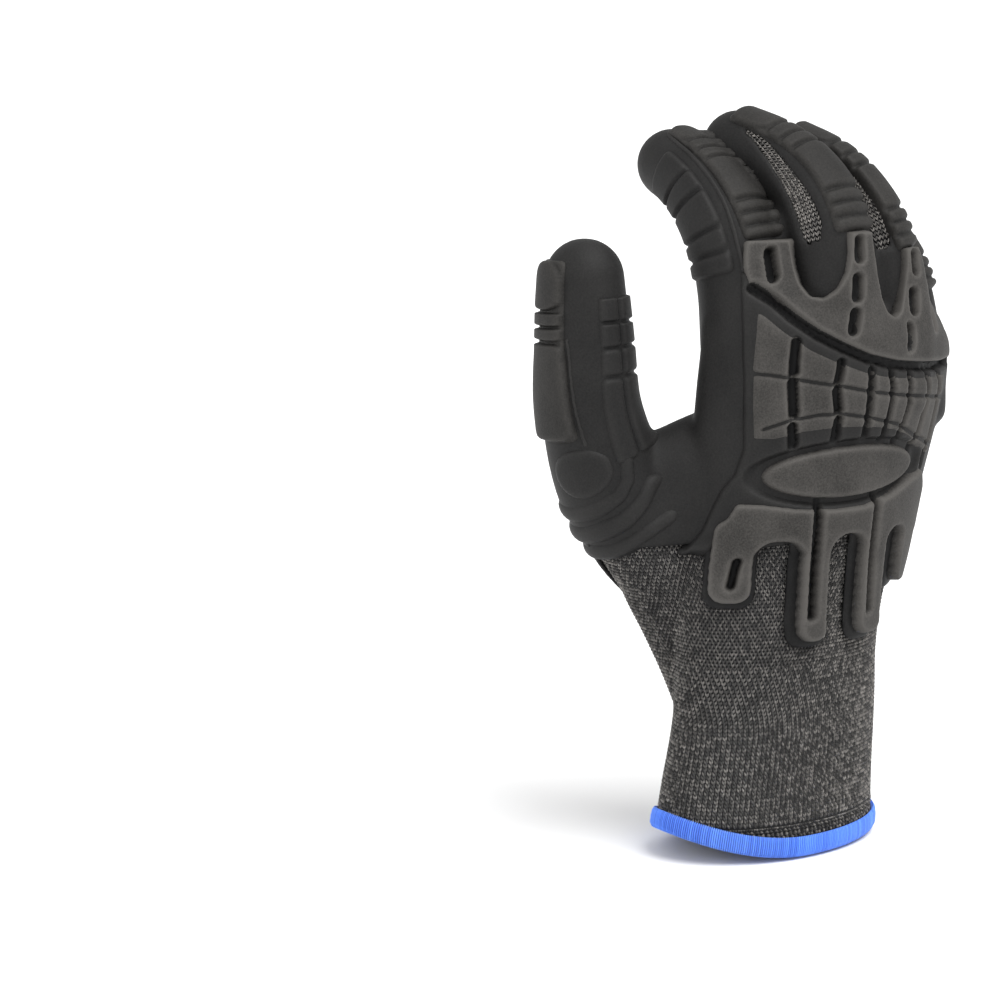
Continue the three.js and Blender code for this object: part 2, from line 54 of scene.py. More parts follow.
hand = {
    "sections": table(
        "z x y halfWidth halfDepth arch slope",
        [
            [-6, 0, 0, 41.7, 24.6, 0, 0],
            [18, 1.8, -0.4, 39.8, 23.2, 0, 0],
            [46, 3.5, -2, 37.8, 22, 0, 0],
            [62, 3.2, -3, 37.8, 21.5, 0.5, 0],
            [78, 4, -4, 39.4, 21, 1.5, 0],
            [96, 7, -6, 41.6, 20, 3, 0],
            [116, 11.5, -9, 43, 18.5, 6, 0],
            [138, 15.7, -13, 44.8, 16.5, 9.5, -2],
            [158, 18.5, -16.6, 45.8, 15.2, 12.5, -5],
            [170, 19, -18.4, 44.2, 13.4, 14, -8],
            [176, 19, -19, 39.4, 8, 12, -8],
        ],
    ),
    "low": -14,
    "tall": 190,
}
digitRows = {  # x, y, z, half width and half depth
    "index": [
        [-12, -8, 146, 12.8, 13], [-13.2, -6.5, 165, 13, 13.8], [-13.6, -4, 182.5, 12.6, 12.8],
        [-14.6, 1.5, 198.5, 12, 11.8], [-16, 10, 209.5, 10.8, 11], [-16.8, 19.5, 216, 10.2, 10.3],
        [-17, 29.5, 219.5, 9.8, 9.7],
    ],
    "middle": [
        [9, -17.6, 148, 11.4, 12.5], [11, -18.8, 167, 11.8, 13], [10.6, -18.3, 185.5, 12.3, 12.4],
        [10, -14.4, 202.5, 11.7, 11.4], [8.2, -6.2, 214, 10.4, 10.6], [5, 4.5, 221, 10, 10],
        [1, 18.5, 225.5, 9.8, 9.6],
    ],
    "ring": [
        [32.5, -16.5, 144, 10.8, 12], [34, -17.4, 162, 10.9, 12.4], [32.8, -16, 179, 10.4, 11.4],
        [30.7, -13, 195.6, 10, 10.6], [27.4, -6.4, 207.4, 9.7, 10], [23.6, 1.8, 215.2, 9.5, 9.6],
        [18.4, 14.4, 220.8, 9.5, 9.3],
    ],
    "little": [
        [50.4, -7, 136, 9.7, 11], [52.6, -5, 152, 9.9, 11.2], [52, -4.2, 165.5, 9.6, 10.4],
        [51, -1.2, 179, 9.1, 9.6], [49.2, 4.6, 188.5, 8.8, 9.1], [47.2, 11.5, 194.5, 8.6, 8.8],
        [45.4, 20.5, 199.5, 8.6, 8.5],
    ],
    "thumb": [
        [-20.5, 9, 72, 13, 15], [-35, 13, 98, 16.5, 16], [-50, 16.5, 122, 16, 16],
        [-56.5, 18.5, 145, 13.8, 13.6], [-57.5, 19, 165, 12.8, 12.4], [-57.5, 20, 177, 12.4, 11.6],
        [-57.5, 20.5, 186.5, 11.4, 10.8],
    ],
    "web": [
        [-44, 12, 112, 21, 11.5], [-29, 5.5, 113.5, 25, 12], [-12, -2, 117, 28, 13],
        [4, -8, 119, 28, 13],
    ],
    "heel": [
        [-14, 6, 44, 11, 13], [-22, 9.5, 70, 13, 15], [-30, 12, 88, 14.5, 15.5],
    ],
    "cleft": [
        [-2.5, -6.5, 172, 9, 8], [-2.5, -7, 188, 7, 6.5], [-3, -5.5, 201, 4.6, 4.4],
    ],
}


def handMiddle(z):
    rows = hand["sections"]
    return np.interp(z, rows["z"], rows["x"]), np.interp(z, rows["z"], rows["y"])


def along(rows, key, z):  # a smooth curve through a column
    knots, values = rows["z"], rows[key]
    slopes = np.gradient(values, knots)
    i = np.clip(np.searchsorted(knots, z) - 1, 0, len(knots) - 2)
    span = knots[i + 1] - knots[i]
    w = np.clip((z - knots[i]) / span, 0, 1)
    low, high = values[i], values[i + 1]
    start, end = slopes[i] * span, slopes[i + 1] * span
    bend = (start + end - 2 * (high - low)) * w + (3 * (high - low) - 2 * start - end)
    return low + w * (start + w * bend)


def handPlace(angle, z, offset, shrink=1.0, lift=0.0):
    rows = hand["sections"]
    across = np.cos(angle) * shrink
    x = along(rows, "x", z) + (along(rows, "halfWidth", z) + offset) * across
    y = along(rows, "y", z) + (along(rows, "halfDepth", z) + offset) * np.sin(angle) * shrink
    y = y + along(rows, "arch", z) * across**2
    return np.stack([x, y, z + along(rows, "slope", z) * across + lift], -1)


def unit(vectors):
    return vectors / np.linalg.norm(vectors, axis=-1, keepdims=True)


class Digit:
    # Angle 0 is along widthAxis, 90 is the inside of the curl and 270 its back.
    def __init__(self, rows, widthAxis=None):
        self.knots = np.array([row[:3] for row in rows], float)
        self.sizes = np.array([row[3:] for row in rows], float)
        if widthAxis is None:
            knuckle, joint, tip = self.knots[1], self.knots[3], self.knots[-1]
            widthAxis = np.cross(tip - joint, joint - knuckle)
        self.widthAxis = unit(np.array(widthAxis, float))
        shares = np.linspace(0, 1, 400)
        self.length = np.linalg.norm(np.diff(self.middle(shares), axis=0), axis=1).sum()

    def middle(self, t):
        knots = self.knots
        p = np.vstack([2 * knots[0] - knots[1], knots, 2 * knots[-1] - knots[-2]])
        place = np.clip(t, 0, 1) * (len(knots) - 1)
        i = np.clip(place.astype(int), 0, len(knots) - 2)
        w = (place - i)[..., None]
        a, b, c, d = p[i], p[i + 1], p[i + 2], p[i + 3]
        pairs = ((b, a), (c, b), (d, c))
        before, here, after = (np.sqrt(np.linalg.norm(q - r, axis=-1, keepdims=True)) for q, r in pairs)
        start = ((b - a) / before - (c - a) / (before + here) + (c - b) / here) * here
        end = ((c - b) / here - (d - b) / (here + after) + (d - c) / after) * here
        bend = (start + end - 2 * (c - b)) * w + (3 * (c - b) - 2 * start - end)
        return b + w * (start + w * bend)

    def axes(self, t):
        step = 1e-3
        forward = unit(self.middle(np.minimum(t + step, 1)) - self.middle(np.maximum(t - step, 0)))
        across = unit(self.widthAxis - forward * (forward @ self.widthAxis)[..., None])
        return forward, across, np.cross(forward, across)

    def place(self, t, degrees, offset, shrink=1.0, advance=0.0):
        t = np.asarray(t, float)
        forward, across, inwards = self.axes(t)
        knots = np.linspace(0, 1, len(self.sizes))
        width, depth = (np.interp(t, knots, self.sizes[:, k]) for k in (0, 1))
        angle = np.radians(degrees)
        return (
            self.middle(t)
            + across * ((width + offset) * np.cos(angle) * shrink)[..., None]
            + inwards * ((depth + offset) * np.sin(angle) * shrink)[..., None]
            + forward * ((np.minimum(width, depth) + offset) * advance)[..., None]
        )


fingerNames = ("index", "middle", "ring", "little")
digits = {name: Digit(digitRows[name]) for name in fingerNames}
digits["thumb"] = Digit(digitRows["thumb"], (-0.2, -1, 0))
digits["heel"] = Digit(digitRows["heel"], (-0.2, -1, 0))
digits["web"] = Digit(digitRows["web"], (0, 0, 1))
digits["cleft"] = Digit(digitRows["cleft"], (0.6, 0.8, 0))


# ---- mesh helpers ----


def onlyThis(obj):
    bpy.ops.object.select_all(action="DESELECT")
    obj.select_set(True)
    bpy.context.view_layer.objects.active = obj


def readPoints(obj):
    co = np.zeros(len(obj.data.vertices) * 3)
    obj.data.vertices.foreach_get("co", co)
    return co.reshape(-1, 3)


def writePoints(obj, points):
    obj.data.vertices.foreach_set("co", np.ascontiguousarray(points, float).ravel())
    obj.data.update()


def applied(obj, kind, **settings):
    onlyThis(obj)
    modifier = obj.modifiers.new(kind.lower(), kind)
    for key, value in settings.items():
        setattr(modifier, key, value)
    bpy.ops.object.modifier_apply(modifier=modifier.name)


def addSphere(segments, rings):
    bpy.ops.object.select_all(action="DESELECT")
    bpy.ops.mesh.primitive_uv_sphere_add(segments=segments, ring_count=rings)
    return bpy.context.object


def sphereShares(obj):
    points = readPoints(obj)
    latitude = np.arcsin(np.clip(points[:, 2], -1, 1)) / math.pi + 0.5
    return latitude, np.arctan2(points[:, 1], points[:, 0])


def digitForm(digit, offset):
    form = addSphere(36, 84)
    share, angle = sphereShares(form)
    closed, domed = 0.04, 0.78  # shares of the sphere that close its hidden end and reach the dome
    t = np.clip((share - closed) / (domed - closed), 0, 1)
    latitude = np.clip((share - domed) / (1 - domed), 0, 1) * math.pi / 2
    shrink = np.cos(latitude) * np.clip(share / closed, 0, 1)
    writePoints(form, digit.place(t, np.degrees(angle), offset, shrink, np.sin(latitude)) * mm)
    return form


def handForm(offset):
    form = addSphere(72, 96)
    share, angle = sphereShares(form)
    closed, domed = 0.03, 0.95
    z = hand["low"] + hand["tall"] * np.clip((share - closed) / (domed - closed), 0, 1)
    latitude = np.clip((share - domed) / (1 - domed), 0, 1) * math.pi / 2
    shrink = np.cos(latitude) * np.clip(share / closed, 0, 1)
    writePoints(form, handPlace(angle, z, offset, shrink, np.sin(latitude) * (1 + offset)) * mm)
    return form


def wholeHand(offset, voxel, rounds):  # rounds of smoothing follow the remesh
    forms = [handForm(offset)] + [digitForm(digit, offset) for digit in digits.values()]
    bpy.ops.object.select_all(action="DESELECT")
    for form in forms:
        form.select_set(True)
    bpy.context.view_layer.objects.active = forms[0]
    bpy.ops.object.join()
    whole = bpy.context.object
    applied(whole, "REMESH", mode="VOXEL", voxel_size=voxel * mm, use_smooth_shade=True)
    applied(whole, "SMOOTH", factor=0.5, iterations=rounds)
    return whole


def treeOf(obj):
    points = [Vector(p) for p in readPoints(obj) / mm]
    return BVHTree.FromPolygons(points, [list(p.vertices) for p in obj.data.polygons])


def layOn(skin, starts, aims):  # where rays meet the skin, and nan where they don't
    hits = np.full(starts.shape, np.nan)
    for i, (start, aim) in enumerate(zip(starts, aims)):
        hit = skin.ray_cast(Vector(start), Vector(aim))[0]
        if hit is not None:
            hits[i] = hit
    return hits


def cutAlong(obj, value):  # keeps what lies where value is above 0, with a clean edge there
    bm = bmesh.new()
    bm.from_mesh(obj.data)
    layer = bm.verts.layers.float.new("cover")
    bm.verts.ensure_lookup_table()
    for vert, amount in zip(bm.verts, value):
        vert[layer] = amount
    created = []
    for edge in [e for e in bm.edges if e.verts[0][layer] * e.verts[1][layer] < 0]:
        a, b = edge.verts
        share = a[layer] / (a[layer] - b[layer])
        vert = bmesh.utils.edge_split(edge, a, share)[1]
        vert[layer] = 0
        created.append(vert)
    bmesh.ops.connect_verts(bm, verts=created)
    bmesh.ops.delete(bm, geom=[v for v in bm.verts if v[layer] < 0], context="VERTS")
    bmesh.ops.remove_doubles(bm, verts=bm.verts, dist=0.00003)
    bm.to_mesh(obj.data)
    bm.free()


def facingOut(obj):
    onlyThis(obj)
    bpy.ops.object.mode_set(mode="EDIT")
    bpy.ops.mesh.select_all(action="SELECT")
    bpy.ops.mesh.normals_make_consistent(inside=False)
    bpy.ops.object.mode_set(mode="OBJECT")
    return obj


def setAttribute(obj, name, values):
    attribute = obj.data.attributes.get(name) or obj.data.attributes.new(name, "FLOAT", "POINT")
    attribute.data.foreach_set("value", np.ascontiguousarray(values, np.float32))


def pointNormals(obj):
    normals = np.zeros(len(obj.data.vertices) * 3)
    obj.data.vertex_normals.foreach_get("vector", normals)
    return normals.reshape(-1, 3)


def madeOf(obj, name, material, slotName, *nodes):
    obj.name = obj.data.name = name
    obj.data.materials.clear()
    obj.data.materials.append(material)
    onlyThis(obj)
    bpy.ops.object.shade_smooth()
    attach(obj, "root")
    if nodes:
        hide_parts(*nodes)
    say(f"{name}, {len(obj.data.polygons)} faces")
    return obj


# ---- distances on a flat map of a surface ----


def lineAway(u, v, line):
    line = np.array(line, float)
    nearest = np.full(u.shape, 1e9)
    for (x0, y0), (x1, y1) in zip(line, line[1:]):
        dx, dy = x1 - x0, y1 - y0
        w = np.clip(((u - x0) * dx + (v - y0) * dy) / max(dx * dx + dy * dy, 1e-9), 0, 1)
        nearest = np.minimum(nearest, np.hypot(u - x0 - w * dx, v - y0 - w * dy))
    return nearest


def insideBy(u, v, outline):  # distance to an outline, above 0 inside it
    outline = np.array(outline, float)
    outline = np.vstack([outline, outline[:1]])
    nearest = lineAway(u, v, outline)
    inside = np.zeros(u.shape, bool)
    for (x0, y0), (x1, y1) in zip(outline, outline[1:]):
        if y0 != y1:
            inside ^= ((y0 > v) != (y1 > v)) & (u < x0 + (v - y0) * (x1 - x0) / (y1 - y0))
    return np.where(inside, nearest, -nearest)


def shoulder(distance, width):  # 0 outside, 1 past a rounded edge
    x = np.clip(distance / width, 0, 1)
    return np.sqrt(1 - (1 - x) ** 2)


def blurred(grid, times):
    for _ in range(times):
        padded = np.pad(grid, [(1, 1), (1, 1)] + [(0, 0)] * (grid.ndim - 2), mode="edge")
        near = padded[:-2, 1:-1] + padded[2:, 1:-1] + padded[1:-1, :-2] + padded[1:-1, 2:]
        grid = (near + 2 * grid) / 6
    return grid


def rounded(u, v, left, right, low, high, radius):  # inside distance of a rounded rectangle
    x = np.abs(u - (left + right) / 2) - (right - left) / 2 + radius
    y = np.abs(v - (low + high) / 2) - (high - low) / 2 + radius
    outside = np.hypot(np.maximum(x, 0), np.maximum(y, 0)) + np.minimum(np.maximum(x, y), 0)
    return radius - outside


# ---- maps: flat coordinates in millimetres, laid on the glove by rays ----

fans = {
    "back": {"depth": 30, "reach": 105, "perDegree": 0.88},
    "palm": {"depth": -40, "reach": 118, "perDegree": 1.0},
}


def fanRays(fan):
    def rays(u, z):
        x, y = handMiddle(z)
        angle = np.radians(u / fan["perDegree"])
        out = np.stack([np.cos(angle), np.sin(angle), 0 * angle], -1)
        start = np.stack([x, y + fan["depth"], z], -1) + out * fan["reach"]
        return start, -out

    return rays


def digitRays(digit, perDegree, above=4.2):
    def rays(u, v):
        t, degrees = np.minimum(v / digit.length, 1), u / perDegree
        start = digit.place(t, degrees, above)
        aim = unit(digit.place(t, degrees, -5) - start)
        beyond = np.maximum(v - digit.length, 0)[..., None]
        return start + digit.axes(t)[0] * beyond, aim

    return rays


def filled(field):  # gives each place that no ray met the mean of its neighbours
    for _ in range(80):
        missing = np.isnan(field)
        if not missing.any():
            break
        padded = np.pad(field, 1, mode="edge")
        near = np.stack([padded[:-2, 1:-1], padded[2:, 1:-1], padded[1:-1, :-2], padded[1:-1, 2:]])
        known = ~np.isnan(near)
        fill = missing & known.any(0)
        field[fill] = np.nansum(near, 0)[fill] / known.sum(0)[fill]
    return field


patchDefaults = {"step": 0.55, "soften": 1, "thickness": 1.0, "bridges": 0}
patchDefaults |= {"hidden": -1.1, "farthest": 200}  # lowest height that is kept, and longest ray


def relief(rays, uRange, vRange, heightAt, **changes):  # bridges draws the sheet over hollows
    options = patchDefaults | changes
    counts = [int((high - low) / options["step"]) + 1 for low, high in (uRange, vRange)]
    u, v = (np.linspace(*ends, count) for ends, count in zip((uRange, vRange), counts))
    uu, vv = np.meshgrid(u, v)
    starts, aims = rays(uu.ravel(), vv.ravel())
    away = np.linalg.norm(layOn(coatSkin, starts, aims) - starts, axis=1).reshape(uu.shape)
    away = filled(np.where(away > options["farthest"], np.nan, away))
    for _ in range(options["bridges"]):
        away = np.minimum(away, blurred(away, 40))
    surface = blurred((starts + aims * away.reshape(-1, 1)).reshape(*uu.shape, 3), 4)
    normals = unit(np.cross(np.gradient(surface, axis=1), np.gradient(surface, axis=0)))
    if (normals * aims.reshape(normals.shape)).sum() > 0:
        normals = -normals
    height = blurred(heightAt(uu, vv), options["soften"])
    bpy.ops.object.select_all(action="DESELECT")
    bpy.ops.mesh.primitive_grid_add(x_subdivisions=len(u) - 1, y_subdivisions=len(v) - 1, size=2)
    patch = bpy.context.object
    flat = readPoints(patch)
    column = np.rint((flat[:, 0] + 1) / 2 * (len(u) - 1)).astype(int)
    row = np.rint((flat[:, 1] + 1) / 2 * (len(v) - 1)).astype(int)
    writePoints(patch, (surface + normals * height[..., None])[row, column] * mm)
    # height above its blurred surroundings: the material turns this into lighter wear on raised parts and
    # painted shade in grooves and recesses
    setAttribute(patch, "relief", (height - blurred(height, 10))[row, column])
    heights, outward = height[row, column], normals[row, column]
    bm = bmesh.new()
    bm.from_mesh(patch.data)
    bm.verts.ensure_lookup_table()
    sunk = [f for f in bm.faces if max(heights[v.index] for v in f.verts) < options["hidden"]]
    bmesh.ops.delete(bm, geom=sunk, context="FACES")
    bm.normal_update()
    if sum(f.normal.dot(Vector(outward[f.verts[0].index])) for f in list(bm.faces)[::50]) < 0:
        bmesh.ops.reverse_faces(bm, faces=bm.faces)
    bm.to_mesh(patch.data)
    bm.free()
    applied(patch, "SOLIDIFY", thickness=options["thickness"] * mm, offset=-1)
    return patch


# ---- materials ----


class Value:  # a socket that Python's operators work on
    def __init__(self, finish, socket):
        self.finish, self.socket = finish, socket

    def combine(self, operation, first, second):
        node = self.finish.add("ShaderNodeMath", {"operation": operation}, {0: first, 1: second})
        return Value(self.finish, node.outputs[0])

    def __add__(self, other):
        return self.combine("ADD", self, other)

    def __sub__(self, other):
        return self.combine("SUBTRACT", self, other)

    def __mul__(self, other):
        return self.combine("MULTIPLY", self, other)

    def clamped(self, low=0.0, high=1.0):
        return self.combine("MINIMUM", self.combine("MAXIMUM", self, low), high)


class Finish:
    def __init__(self, name):
        self.material = bpy.data.materials.new(name)
        self.material.use_nodes = True
        self.tree = self.material.node_tree
        self.shader = self.tree.nodes["Principled BSDF"]
        self.place = self.add("ShaderNodeTexCoord").outputs["Object"]

    def add(self, kind, settings=None, inputs=None):
        node = self.tree.nodes.new(kind)
        for key, value in (settings or {}).items():
            if key == "stops":
                ramp = node.color_ramp.elements
                while len(ramp) < len(value):
                    ramp.new(0.5)
                for element, (position, color) in zip(ramp, value):
                    element.position, element.color = position, (*color, 1)
            else:
                setattr(node, key, value)
        for key, value in (inputs or {}).items():
            self.feed(node.inputs[key], value)
        return node

    def feed(self, socket, value):
        value = value.socket if isinstance(value, Value) else value
        if isinstance(value, bpy.types.NodeSocket):
            self.tree.links.new(value, socket)
        else:
            socket.default_value = value

    def noise(self, scale, detail, roughness):
        settings = {"Scale": scale, "Detail": detail, "Roughness": roughness, "Vector": self.place}
        return Value(self, self.add("ShaderNodeTexNoise", None, settings).outputs[0])

    def attribute(self, name):
        return Value(self, self.add("ShaderNodeAttribute", {"attribute_name": name}).outputs["Fac"])

    def mixed(self, share, first, second):
        node = self.add("ShaderNodeMix", {"data_type": "RGBA"})
        sockets = {s.name: s for s in node.inputs if s.enabled}
        for key, value in {"Factor": share, "A": first, "B": second}.items():
            self.feed(sockets[key], value)
        return next(s for s in node.outputs if s.enabled)

    def bump(self, height, strength, distance):
        inputs = {"Height": height, "Strength": strength, "Distance": distance}
        return self.add("ShaderNodeBump", None, inputs).outputs[0]

    def shade(self, **inputs):
        names = {"color": "Base Color", "roughness": "Roughness", "normal": "Normal"}
        names |= {"specular": "Specular IOR Level", "sheen": "Sheen Weight"}
        for key, value in inputs.items():
            self.feed(self.shader.inputs[names[key]], value)
        return self.material


def rubberFinish(name, dark, pale, roughness, grainDepth):
    finish = Finish(name)
    cloudy = finish.noise(45, 4, 0.6)
    grain = finish.noise(1600, 3, 0.7)
    # the relief attribute makes raised parts lighter as wear and paints shade into grooves, slots and
    # recesses by darkening them
    wearAndShade = finish.attribute("relief")
    tone = (cloudy - 0.5) * 0.9 + (grain - 0.5) * 0.9 + wearAndShade * 0.5 + 0.48
    color = finish.mixed(tone.clamped(), dark, pale)
    rough = (cloudy * 0.16 + (roughness - 0.08)).clamped(0.25, 1)
    normal = finish.bump(grain, 0.7, grainDepth * mm)
    return finish.shade(color=color, roughness=rough, normal=normal, specular=0.16)


rubbers = {  # dark tone, pale tone, roughness and depth of the grain
    "coatRubber": [(0.0045, 0.0045, 0.0047, 1), (0.024, 0.0232, 0.0226, 1), 0.58, 0.1],
    "guardRubber": [(0.005, 0.0048, 0.0046, 1), (0.078, 0.0735, 0.0685, 1), 0.62, 0.16],
    "palmRubber": [(0.005, 0.0048, 0.0046, 1), (0.029, 0.0278, 0.0266, 1), 0.6, 0.2],
    "gripRubber": [(0.005, 0.0048, 0.0046, 1), (0.041, 0.0389, 0.0365, 1), 0.62, 0.16],
}
coatRubber, guardRubber, palmRubber, gripRubber = (rubberFinish(n, *rubbers[n]) for n in rubbers)


def knitFinish():
    finish = Finish("melangeKnit")
    tone = finish.attribute("tone")
    fibre = finish.noise(2600, 3, 0.7)
    stops = [(0, (0.009, 0.009, 0.01)), (0.45, (0.05, 0.048, 0.046)), (1, (0.33, 0.31, 0.29))]
    tone = (tone + (fibre - 0.5) * 0.5).clamped()
    ramp = finish.add("ShaderNodeValToRGB", {"stops": stops}, {0: tone})
    normal = finish.bump(fibre, 0.5, 0.12 * mm)
    return finish.shade(color=ramp.outputs[0], roughness=0.92, normal=normal, specular=0.15, sheen=0.15)


def threadFinish():
    finish = Finish("blueThread")
    tone = finish.attribute("tone")
    fibre = finish.noise(2600, 2, 0.6)
    tone = (tone + (fibre - 0.5) * 0.5).clamped()
    color = finish.mixed(tone, (0.045, 0.13, 0.62, 1), (0.12, 0.3, 0.97, 1))
    normal = finish.bump(fibre, 0.4, 0.08 * mm)
    return finish.shade(color=color, roughness=0.7, normal=normal, specular=0.2, sheen=0.15)


melangeKnit = knitFinish()
blueThread = threadFinish()

# ---- the coat ----

rubberCoat = {"thickness": 1.45, "lipWidth": 1.6, "lipDrop": 0.75}
say("growing the hand's form")
coat = wholeHand(offset=1.8, voxel=1.18, rounds=11)
coatSkin = treeOf(coat)

hemLift = {"radial": 8.5, "ulnar": 1.0}


def hemRise(across):  # across runs from -1 at the thumb's side to 1
    return across**2 * np.where(across < 0, hemLift["radial"], hemLift["ulnar"])


coatEdge = table(
    "degrees z",
    [
        [0, 90], [25, 84], [45, 77], [70, 71], [100, 69], [122, 72], [137, 88], [150, 101],
        [167, 102], [185, 103], [200, 103], [225, 102], [255, 104], [285, 105], [315, 104],
        [340, 95], [360, 90],
    ],
)
lobes = table(
    "left right foot margin",
    [
        [224.2, 238.8, 85, 2.2], [255.4, 266.6, 71, 4.0], [280.6, 293, 70.5, 4.0],
        [302.5, 315.5, 84.5, 3.5],
    ],
)
lobeLean = 0.15  # the lobes turn towards the little finger on their way down


windows = {  # bare knit beside two fingers' guards: share of the length, direction, width
    "middle": [
        [0.45, 196, 4.4], [0.49, 198, 6.6], [0.565, 197.5, 6.4], [0.665, 198, 5.2],
        [0.74, 203, 4.6], [0.835, 214, 3.6], [0.925, 228, 1.8],
    ],
    "ring": [[0.47, 227, 4.5], [0.52, 230, 5.5], [0.605, 235, 4.2], [0.705, 238, 2.8], [0.82, 247, 1.6]],
}
fingerPerDegree = 0.2
nearWindow = {"above": 165, "within": 50, "deepest": 15.5}  # where the coat can have a window


def windowOutline(name):
    t, degrees, width = np.array(windows[name]).T
    u, v = degrees * fingerPerDegree, t * digits[name].length
    return np.concatenate([np.stack([u - width / 2, v], 1), np.stack([u + width / 2, v], 1)[::-1]])


def nearDigit(digit, points):  # a point's place along a digit, its direction round it, and its distance
    shares = np.linspace(0, 1, 121)
    line = digit.middle(shares)
    away = np.linalg.norm(points[:, None] - line[None], axis=2)
    best = away.argmin(1)
    t = shares[best]
    forward, across, inwards = digit.axes(t)
    offset = points - line[best]
    degrees = np.degrees(np.arctan2((offset * inwards).sum(1), (offset * across).sum(1))) % 360
    return t, degrees, away.min(1)


def coatCover(points):  # millimetres inside the coat's edge
    x, y, z = points.T
    middleX, middleY = handMiddle(90)
    degrees = np.degrees(np.arctan2((y - middleY) / 48, (x - middleX) / 84)) % 360
    cover = z - np.interp(degrees, coatEdge["degrees"], coatEdge["z"])
    fanX, fanY = handMiddle(z)
    fan = fans["back"]
    back = np.degrees(np.arctan2(y - fanY - fan["depth"], x - fanX)) % 360 * fan["perDegree"]
    behind = y < fanY + 12
    for left, right, foot, margin in zip(*lobes.values()):
        edges = [side * fan["perDegree"] for side in (left - margin, right + 1.6)]
        lobe = rounded(back + lobeLean * (z - 90), z, *edges, foot - 2, 140, 5.0)
        cover = np.where(behind, np.maximum(cover, lobe), cover)
    for name in windows:
        digit = digits[name]
        near = np.linalg.norm(points - digit.middle(np.array(0.6)), axis=1) < nearWindow["within"]
        close = np.nonzero((z > nearWindow["above"]) & near)[0]
        t, around, away = nearDigit(digit, points[close])
        window = insideBy(around * fingerPerDegree, t * digit.length, windowOutline(name))
        cover[close] = np.minimum(cover[close], -np.where(away < nearWindow["deepest"], window, -5))
    return cover


cutAlong(coat, coatCover(readPoints(coat) / mm))
points = readPoints(coat) / mm
lip = 1 - np.clip(coatCover(points) / rubberCoat["lipWidth"], 0, 1)
writePoints(coat, (points - pointNormals(coat) * (rubberCoat["lipDrop"] * lip**2)[:, None]) * mm)
applied(coat, "SOLIDIFY", thickness=rubberCoat["thickness"] * mm, offset=-1)
setAttribute(coat, "relief", np.zeros(len(coat.data.vertices)))
madeOf(coat, "RubberCoat", coatRubber, "coat_rubber", "rubber_coat")

# ---- the knitted liner ----

knitLiner = {"thickness": 0.9, "foot": 1.5, "tone": 0.04}
liner = wholeHand(offset=-0.45, voxel=1.5, rounds=8)
points = readPoints(liner) / mm
aboveHem = points[:, 2] - knitLiner["foot"] - hemRise(points[:, 0] / hand["sections"]["halfWidth"][0])
cutAlong(liner, aboveHem)
clothSkin = treeOf(liner)
applied(liner, "SOLIDIFY", thickness=knitLiner["thickness"] * mm, offset=-1)
setAttribute(liner, "tone", np.full(len(liner.data.vertices), knitLiner["tone"]))
madeOf(liner, "KnitLiner", melangeKnit, "knit", "knit_liner")

# ---- guards on the back, in the back fan's degrees and heights ----

guards = {"top": 2.6, "edge": 0.7, "floor": -1.3, "wristTop": 3.5, "fingerTop": 2.1, "web": 0.9}


def raisedTo(top, inside, edge=guards["edge"], floor=guards["floor"]):
    return floor + (top - floor) * shoulder(inside, edge)


def onFan(fan, outline):
    return [[degrees * fans[fan]["perDegree"], z] for degrees, z in outline]


def besideLine(fan, u, v, width, line):  # distance outside a groove
    return lineAway(u, v, onFan(fan, line)) - width / 2


def cutBy(inside, fan, u, v, lines):
    for width, line in lines:
        inside = np.minimum(inside, besideLine(fan, u, v, width, line))
    return inside


def fanPatch(fan, degrees, heights, heightAt, **changes):
    uRange = [end * fans[fan]["perDegree"] for end in degrees]
    return relief(fanRays(fans[fan]), uRange, heights, heightAt, **changes)


panel = {
    "top": 1.9,
    "edge": 2.6,
    "outline": [
        [211, 190], [212.5, 176], [215, 163], [217.5, 153], [220, 142], [222.5, 134], [222, 126],
        [219, 121], [217.5, 114], [216.5, 108], [212, 100], [222, 101], [228, 106], [312, 108],
        [321, 118], [325, 135], [324, 158], [322, 168], [290, 168], [262, 172], [240, 180],
        [228, 190],
    ],
    "bowl": {"degrees": 265.5, "z": 125.8, "halfWidth": 40, "halfHeight": 10.8},
    "bowlSlope": 1.7,
    "bowlDepth": 2.2,
}
oval = {"degrees": 265.3, "z": 125.8, "halfWidth": 33.6, "halfHeight": 8.3, "top": 2.5}
curvedGroove = [  # width, then the line
    2.4,
    [
        [215.5, 184.6], [222, 180.8], [231, 175.2], [241, 170.1], [252, 165.8], [263, 162],
        [276, 159.2], [290, 157.4], [305, 156], [320, 155.6],
    ],
]
ribGrooves = [
    [2.9, [[233.2, 168], [233.8, 158.8]]],
    [2.9, [[234.2, 155.4], [237.4, 145.6]]],
    [2.7, [[238, 141.2], [240, 135.5]]],
    [2.6, [[251.6, 161.4], [251.3, 155.6]]],
    [2.6, [[251.6, 152.6], [254, 146.4]]],
    [2.6, [[254.8, 143], [255.4, 137]]],
    [2.3, [[265, 158.5], [266.6, 149.5], [268.4, 137]]],
    [1.9, [[274.6, 157.5], [277.4, 149], [277.2, 135]]],
    [1.8, [[285, 156], [287.4, 146], [285, 132]]],
    [1.7, [[295.4, 155.5], [298.6, 147], [296.5, 126]]],
    [1.5, [[306, 155.5], [309, 147], [308, 123]]],
]
ribLines = [
    [
        [219, 158.6], [232, 157], [243, 155.3], [253, 154],
        [266, 151.6], [280, 149.6], [298, 147.2], [318, 144.6],
    ],
    [
        [228, 140.6], [237, 143.6], [247, 145.1], [257, 144.9],
        [268, 143.2], [283, 139.8], [296, 134.6], [316, 128],
    ],
]
